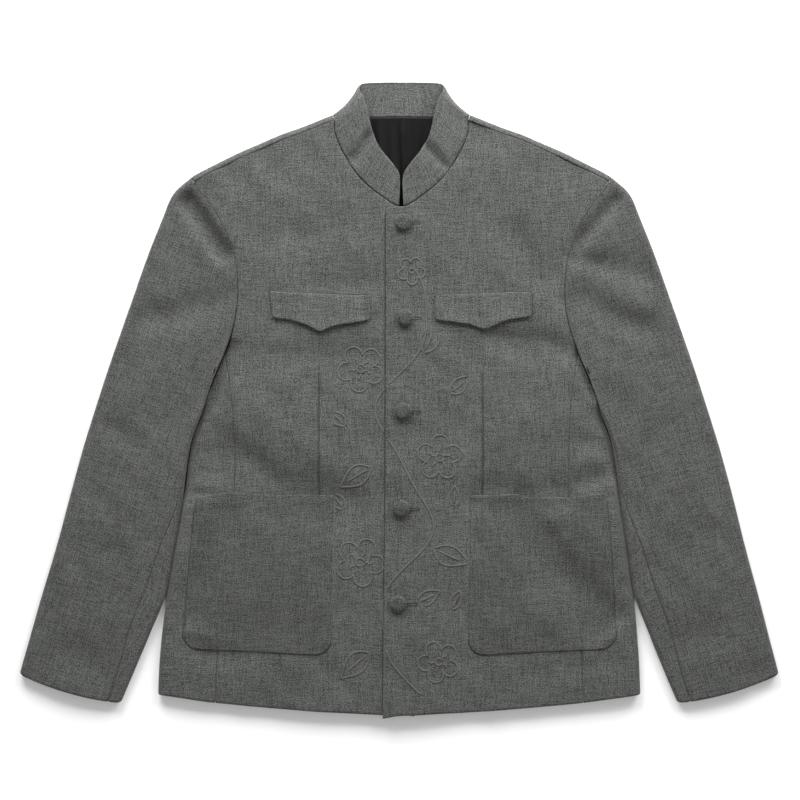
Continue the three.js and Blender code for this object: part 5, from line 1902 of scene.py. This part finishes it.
@dataclass
class Embroidery:
    """A climbing plum branch in tonal cord: winding stem, five-petal blossoms, leaves."""

    wear: Wardrobe
    stem_top: float = 150.0
    stem_bottom: float = -338.0
    stem_middle: float = 6.0
    stem_sway: float = 30.0
    stem_wave: float = 236.0
    blossoms: Rows = ((-44, 36, 27, 0.2), (46, -66, 26, 0.9), (-45, -186, 28, 0.5),
                      (45, -300, 24, 0.1), (14, 148, 16, 0.4))
    leaves: Rows = ((28, 54, 40, 62), (-32, -78, 42, 205), (40, -170, 44, -30),
                    (-34, -290, 44, 215), (-40, 104, 30, 160), (58, 8, 30, 35),
                    (-62, -30, 26, 130), (20, -232, 30, 20), (62, -122, 24, 80),
                    (-64, -126, 26, 120), (60, -240, 24, 60))
    clear_button: float = 11.5
    clear_hole: tuple[float, float] = (27.0, 3.6)
    clear_edge: tuple[float, float] = (2.0, 1.4)
    clear_hem: float = 7.0
    clear_flaps: tuple[float, float, float] = (33.0, 78.0, 126.0)
    within: tuple[float, float] = (-75.0, 79.0)

    def stem(self) -> Array:
        """The winding stem."""
        y = np.linspace(self.stem_top, self.stem_bottom, 360)
        turn = 2 * math.pi * (y - 40) / self.stem_wave
        wander = 5 * np.sin(2.3 * turn + 1)
        return plan(self.stem_middle + self.stem_sway * np.sin(turn) + wander, y)

    @staticmethod
    def blossom(x: float, y: float, size: float, turn: float) -> list[Array]:
        """A five-petal flower's outline, its eye and its stamens."""
        a = np.linspace(0, 2 * math.pi, 150)
        petal = np.abs(np.sin(2.5 * a)) ** 0.55
        r = size * (0.5 + 0.5 * petal)
        outline = plan(x + r * np.cos(a + turn), y + r * np.sin(a + turn))
        eye = 0.17 * size
        parts = [outline, plan(x + eye * np.cos(a[::5]), y + eye * np.sin(a[::5]))]
        for k in range(5):
            angle = turn + (k + 0.5) * 2 * math.pi / 5
            s = np.linspace(0.2, 0.52, 10) * size
            bend = angle + 0.12 * np.sin(s)
            parts.append(plan(x + s * np.cos(bend), y + s * np.sin(bend)))
        return parts

    @staticmethod
    def leaf(x: float, y: float, length: float, degrees: float) -> list[Array]:
        """A pointed leaf with a middle vein."""
        s = np.linspace(0, 1, 40)
        half = 0.26 * length * np.sin(math.pi * s**0.8) ** 1.1
        curl = 0.12 * length * s * s
        c, n = math.cos(math.radians(degrees)), math.sin(math.radians(degrees))

        def turned(off: Array) -> Array:
            """Points along the leaf, off to its side."""
            return plan(x + s * length * c - off * n, y + s * length * n + off * c)

        rim = np.concatenate([turned(curl + half), turned(curl - half)[::-1][1:]])
        return [rim, turned(curl)[4:30]]

    def cut_runs(self, path: Array, side: Side) -> list[Array]:
        """The runs of a path that lie on one front, clear of buttons and buttonholes."""
        path = spaced(path)
        x, y = path[:, 0], path[:, 1]
        edge = centre_x(y) - OVERLAP
        over, under = self.clear_edge
        keep = x > edge + over if side is Side.LEFT else x < edge - under
        hole_end, hole_half = self.clear_hole
        for bx, by in BUTTONS:
            keep &= np.hypot(x - bx, y - by) > self.clear_button
            keep &= ~((x > bx) & (x < hole_end) & (np.abs(y - by + 0.6) < hole_half))
        keep &= y > HEM_Y(np.abs(x)) + self.clear_hem
        inner, low, high = self.clear_flaps
        keep &= ~((np.abs(x) > inner) & (y > low) & (y < high))
        keep &= ~((x > self.within[1]) | (x < self.within[0]))
        runs, start = [], None
        for i, on in enumerate([*keep, False]):
            if on and start is None:
                start = i
            elif not on and start is not None:
                if i - start > 4:
                    runs.append(path[start:i])
                start = None
        return runs

    def build(self) -> None:
        """Lay the cords on both fronts."""
        drawn = [self.stem()]
        for row in self.blossoms:
            drawn += self.blossom(*row)
        for row in self.leaves:
            drawn += self.leaf(*row)
        for side in Side:
            runs = [run for path in drawn for run in self.cut_runs(path, side)]
            Cord().build(f"embroidery_{side.label}", runs, side, self.wear.thread)


# ---- Studio -------------------------------------------------------------------------------------
@dataclass
class Studio:
    """Floor, lights and camera."""

    distance: float = 2.612
    frame_width: float = 0.917
    aim_x: float = 0.0009
    sky: float = 0.40
    lamps: tuple[tuple[str, tuple[float, float, float], float, float], ...] = (
        ("key_right", (-0.56, 1.73, 0.96), 114.0 * 0.60, 1.2),
        ("key_left", (1.04, 1.50, 0.96), 114.0 * 0.41, 1.2),
        ("fill", (0.4, -1.0, 2.4), 114.0 * 0.12, 2.0),
    )
    sensor: float = 36.0

    def build(self) -> None:
        """Set the studio up."""
        self.floor()
        self.lights()
        self.camera()

    def floor(self) -> None:
        """A pale floor that reaches well past the view."""
        mesh = bpy.data.meshes.new("floor")
        half, low = 3.0, -0.0005
        corners = [(-half, -half, low), (half, -half, low), (half, half, low), (-half, half, low)]
        mesh.from_pydata(corners, [], [(0, 1, 2, 3)])
        mesh.materials.append(Plaster().material())
        linked("floor", mesh)

    def lights(self) -> None:
        """Even sky light, two broad keys beyond the shoulders and a weak fill by the hem."""
        world = bpy.data.worlds.new("studio_sky")
        world.use_nodes = True
        nodes = Nodes(world.node_tree)
        back = nodes.add("Background", {"Color": (1, 1, 1, 1), "Strength": self.sky})
        nodes.add("OutputWorld", {"Surface": back.outputs[0]})
        bpy.context.scene.world = world
        for name, place, watts, size in self.lamps:
            light = bpy.data.lights.new(name, "AREA")
            light.energy = watts
            light.size = size
            obj = linked(name, light)
            obj.location = place
            aim = -np.array(place)
            tilt = math.acos(-aim[2] / float(np.linalg.norm(aim)))
            obj.rotation_euler = (tilt, 0, math.atan2(aim[1], aim[0]) - math.pi / 2)

    def camera(self) -> None:
        """A camera straight above."""
        data = bpy.data.cameras.new("overhead")
        data.sensor_width = self.sensor
        data.lens = self.sensor * (self.distance - BODY_LOFT * MM) / self.frame_width
        data.clip_end = 20
        obj = linked("overhead", data)
        obj.location = (self.aim_x, 0, self.distance)
        bpy.context.scene.camera = obj
        bpy.context.scene.view_settings.view_transform = "Standard"


def main() -> None:
    """Build the jacket and its studio in order."""
    logging.basicConfig(level=logging.INFO, format="%(name)s %(message)s")
    wool = Wool()
    # The body wool made lighter for the collar: painted light.
    neck = Wool("collar_wool_lit", (0.115, 0.120, 0.113), (0.0216, 0.0229, 0.0216))
    # The body wool made darker for the sleeves: painted shade.
    shaded_sleeve_wool = Wool("sleeve_wool_shaded", (0.101, 0.105, 0.099), (0.0190, 0.0202, 0.0190))
    # The body wool made darker for the pockets: painted shade.
    darker = Wool("pocket_wool", (0.092, 0.096, 0.090), (0.0172, 0.0182, 0.0172))
    # The body wool made darker for the button covers: painted shade.
    shaded_button_wool = Wool("button_wool_shaded", (0.088, 0.092, 0.086), (0.015, 0.016, 0.015), bump=0.5)
    # Near-black thread: partly real stitching, mostly painted shadow lines along seams and edges.
    seam = Thread("stitch_and_shadow_thread", (0.022, 0.023, 0.021), (0.010, 0.011, 0.010))
    wear = Wardrobe(*(finish.material() for finish in (
        wool, neck, shaded_sleeve_wool, darker, shaded_button_wool, Satin(), Thread(), seam)))
    Studio().build()
    body, patches = Body(wear), Patches(wear)
    for part in (body, Sleeves(wear), Collar(wear), Lining(wear), patches, Buttons(wear),
                 StitchAndShadowLines(wear, patches, body), Embroidery(wear)):
        part.build()
        LOG.info("%s done", type(part).__name__)


if __name__ == "__main__":
    main()
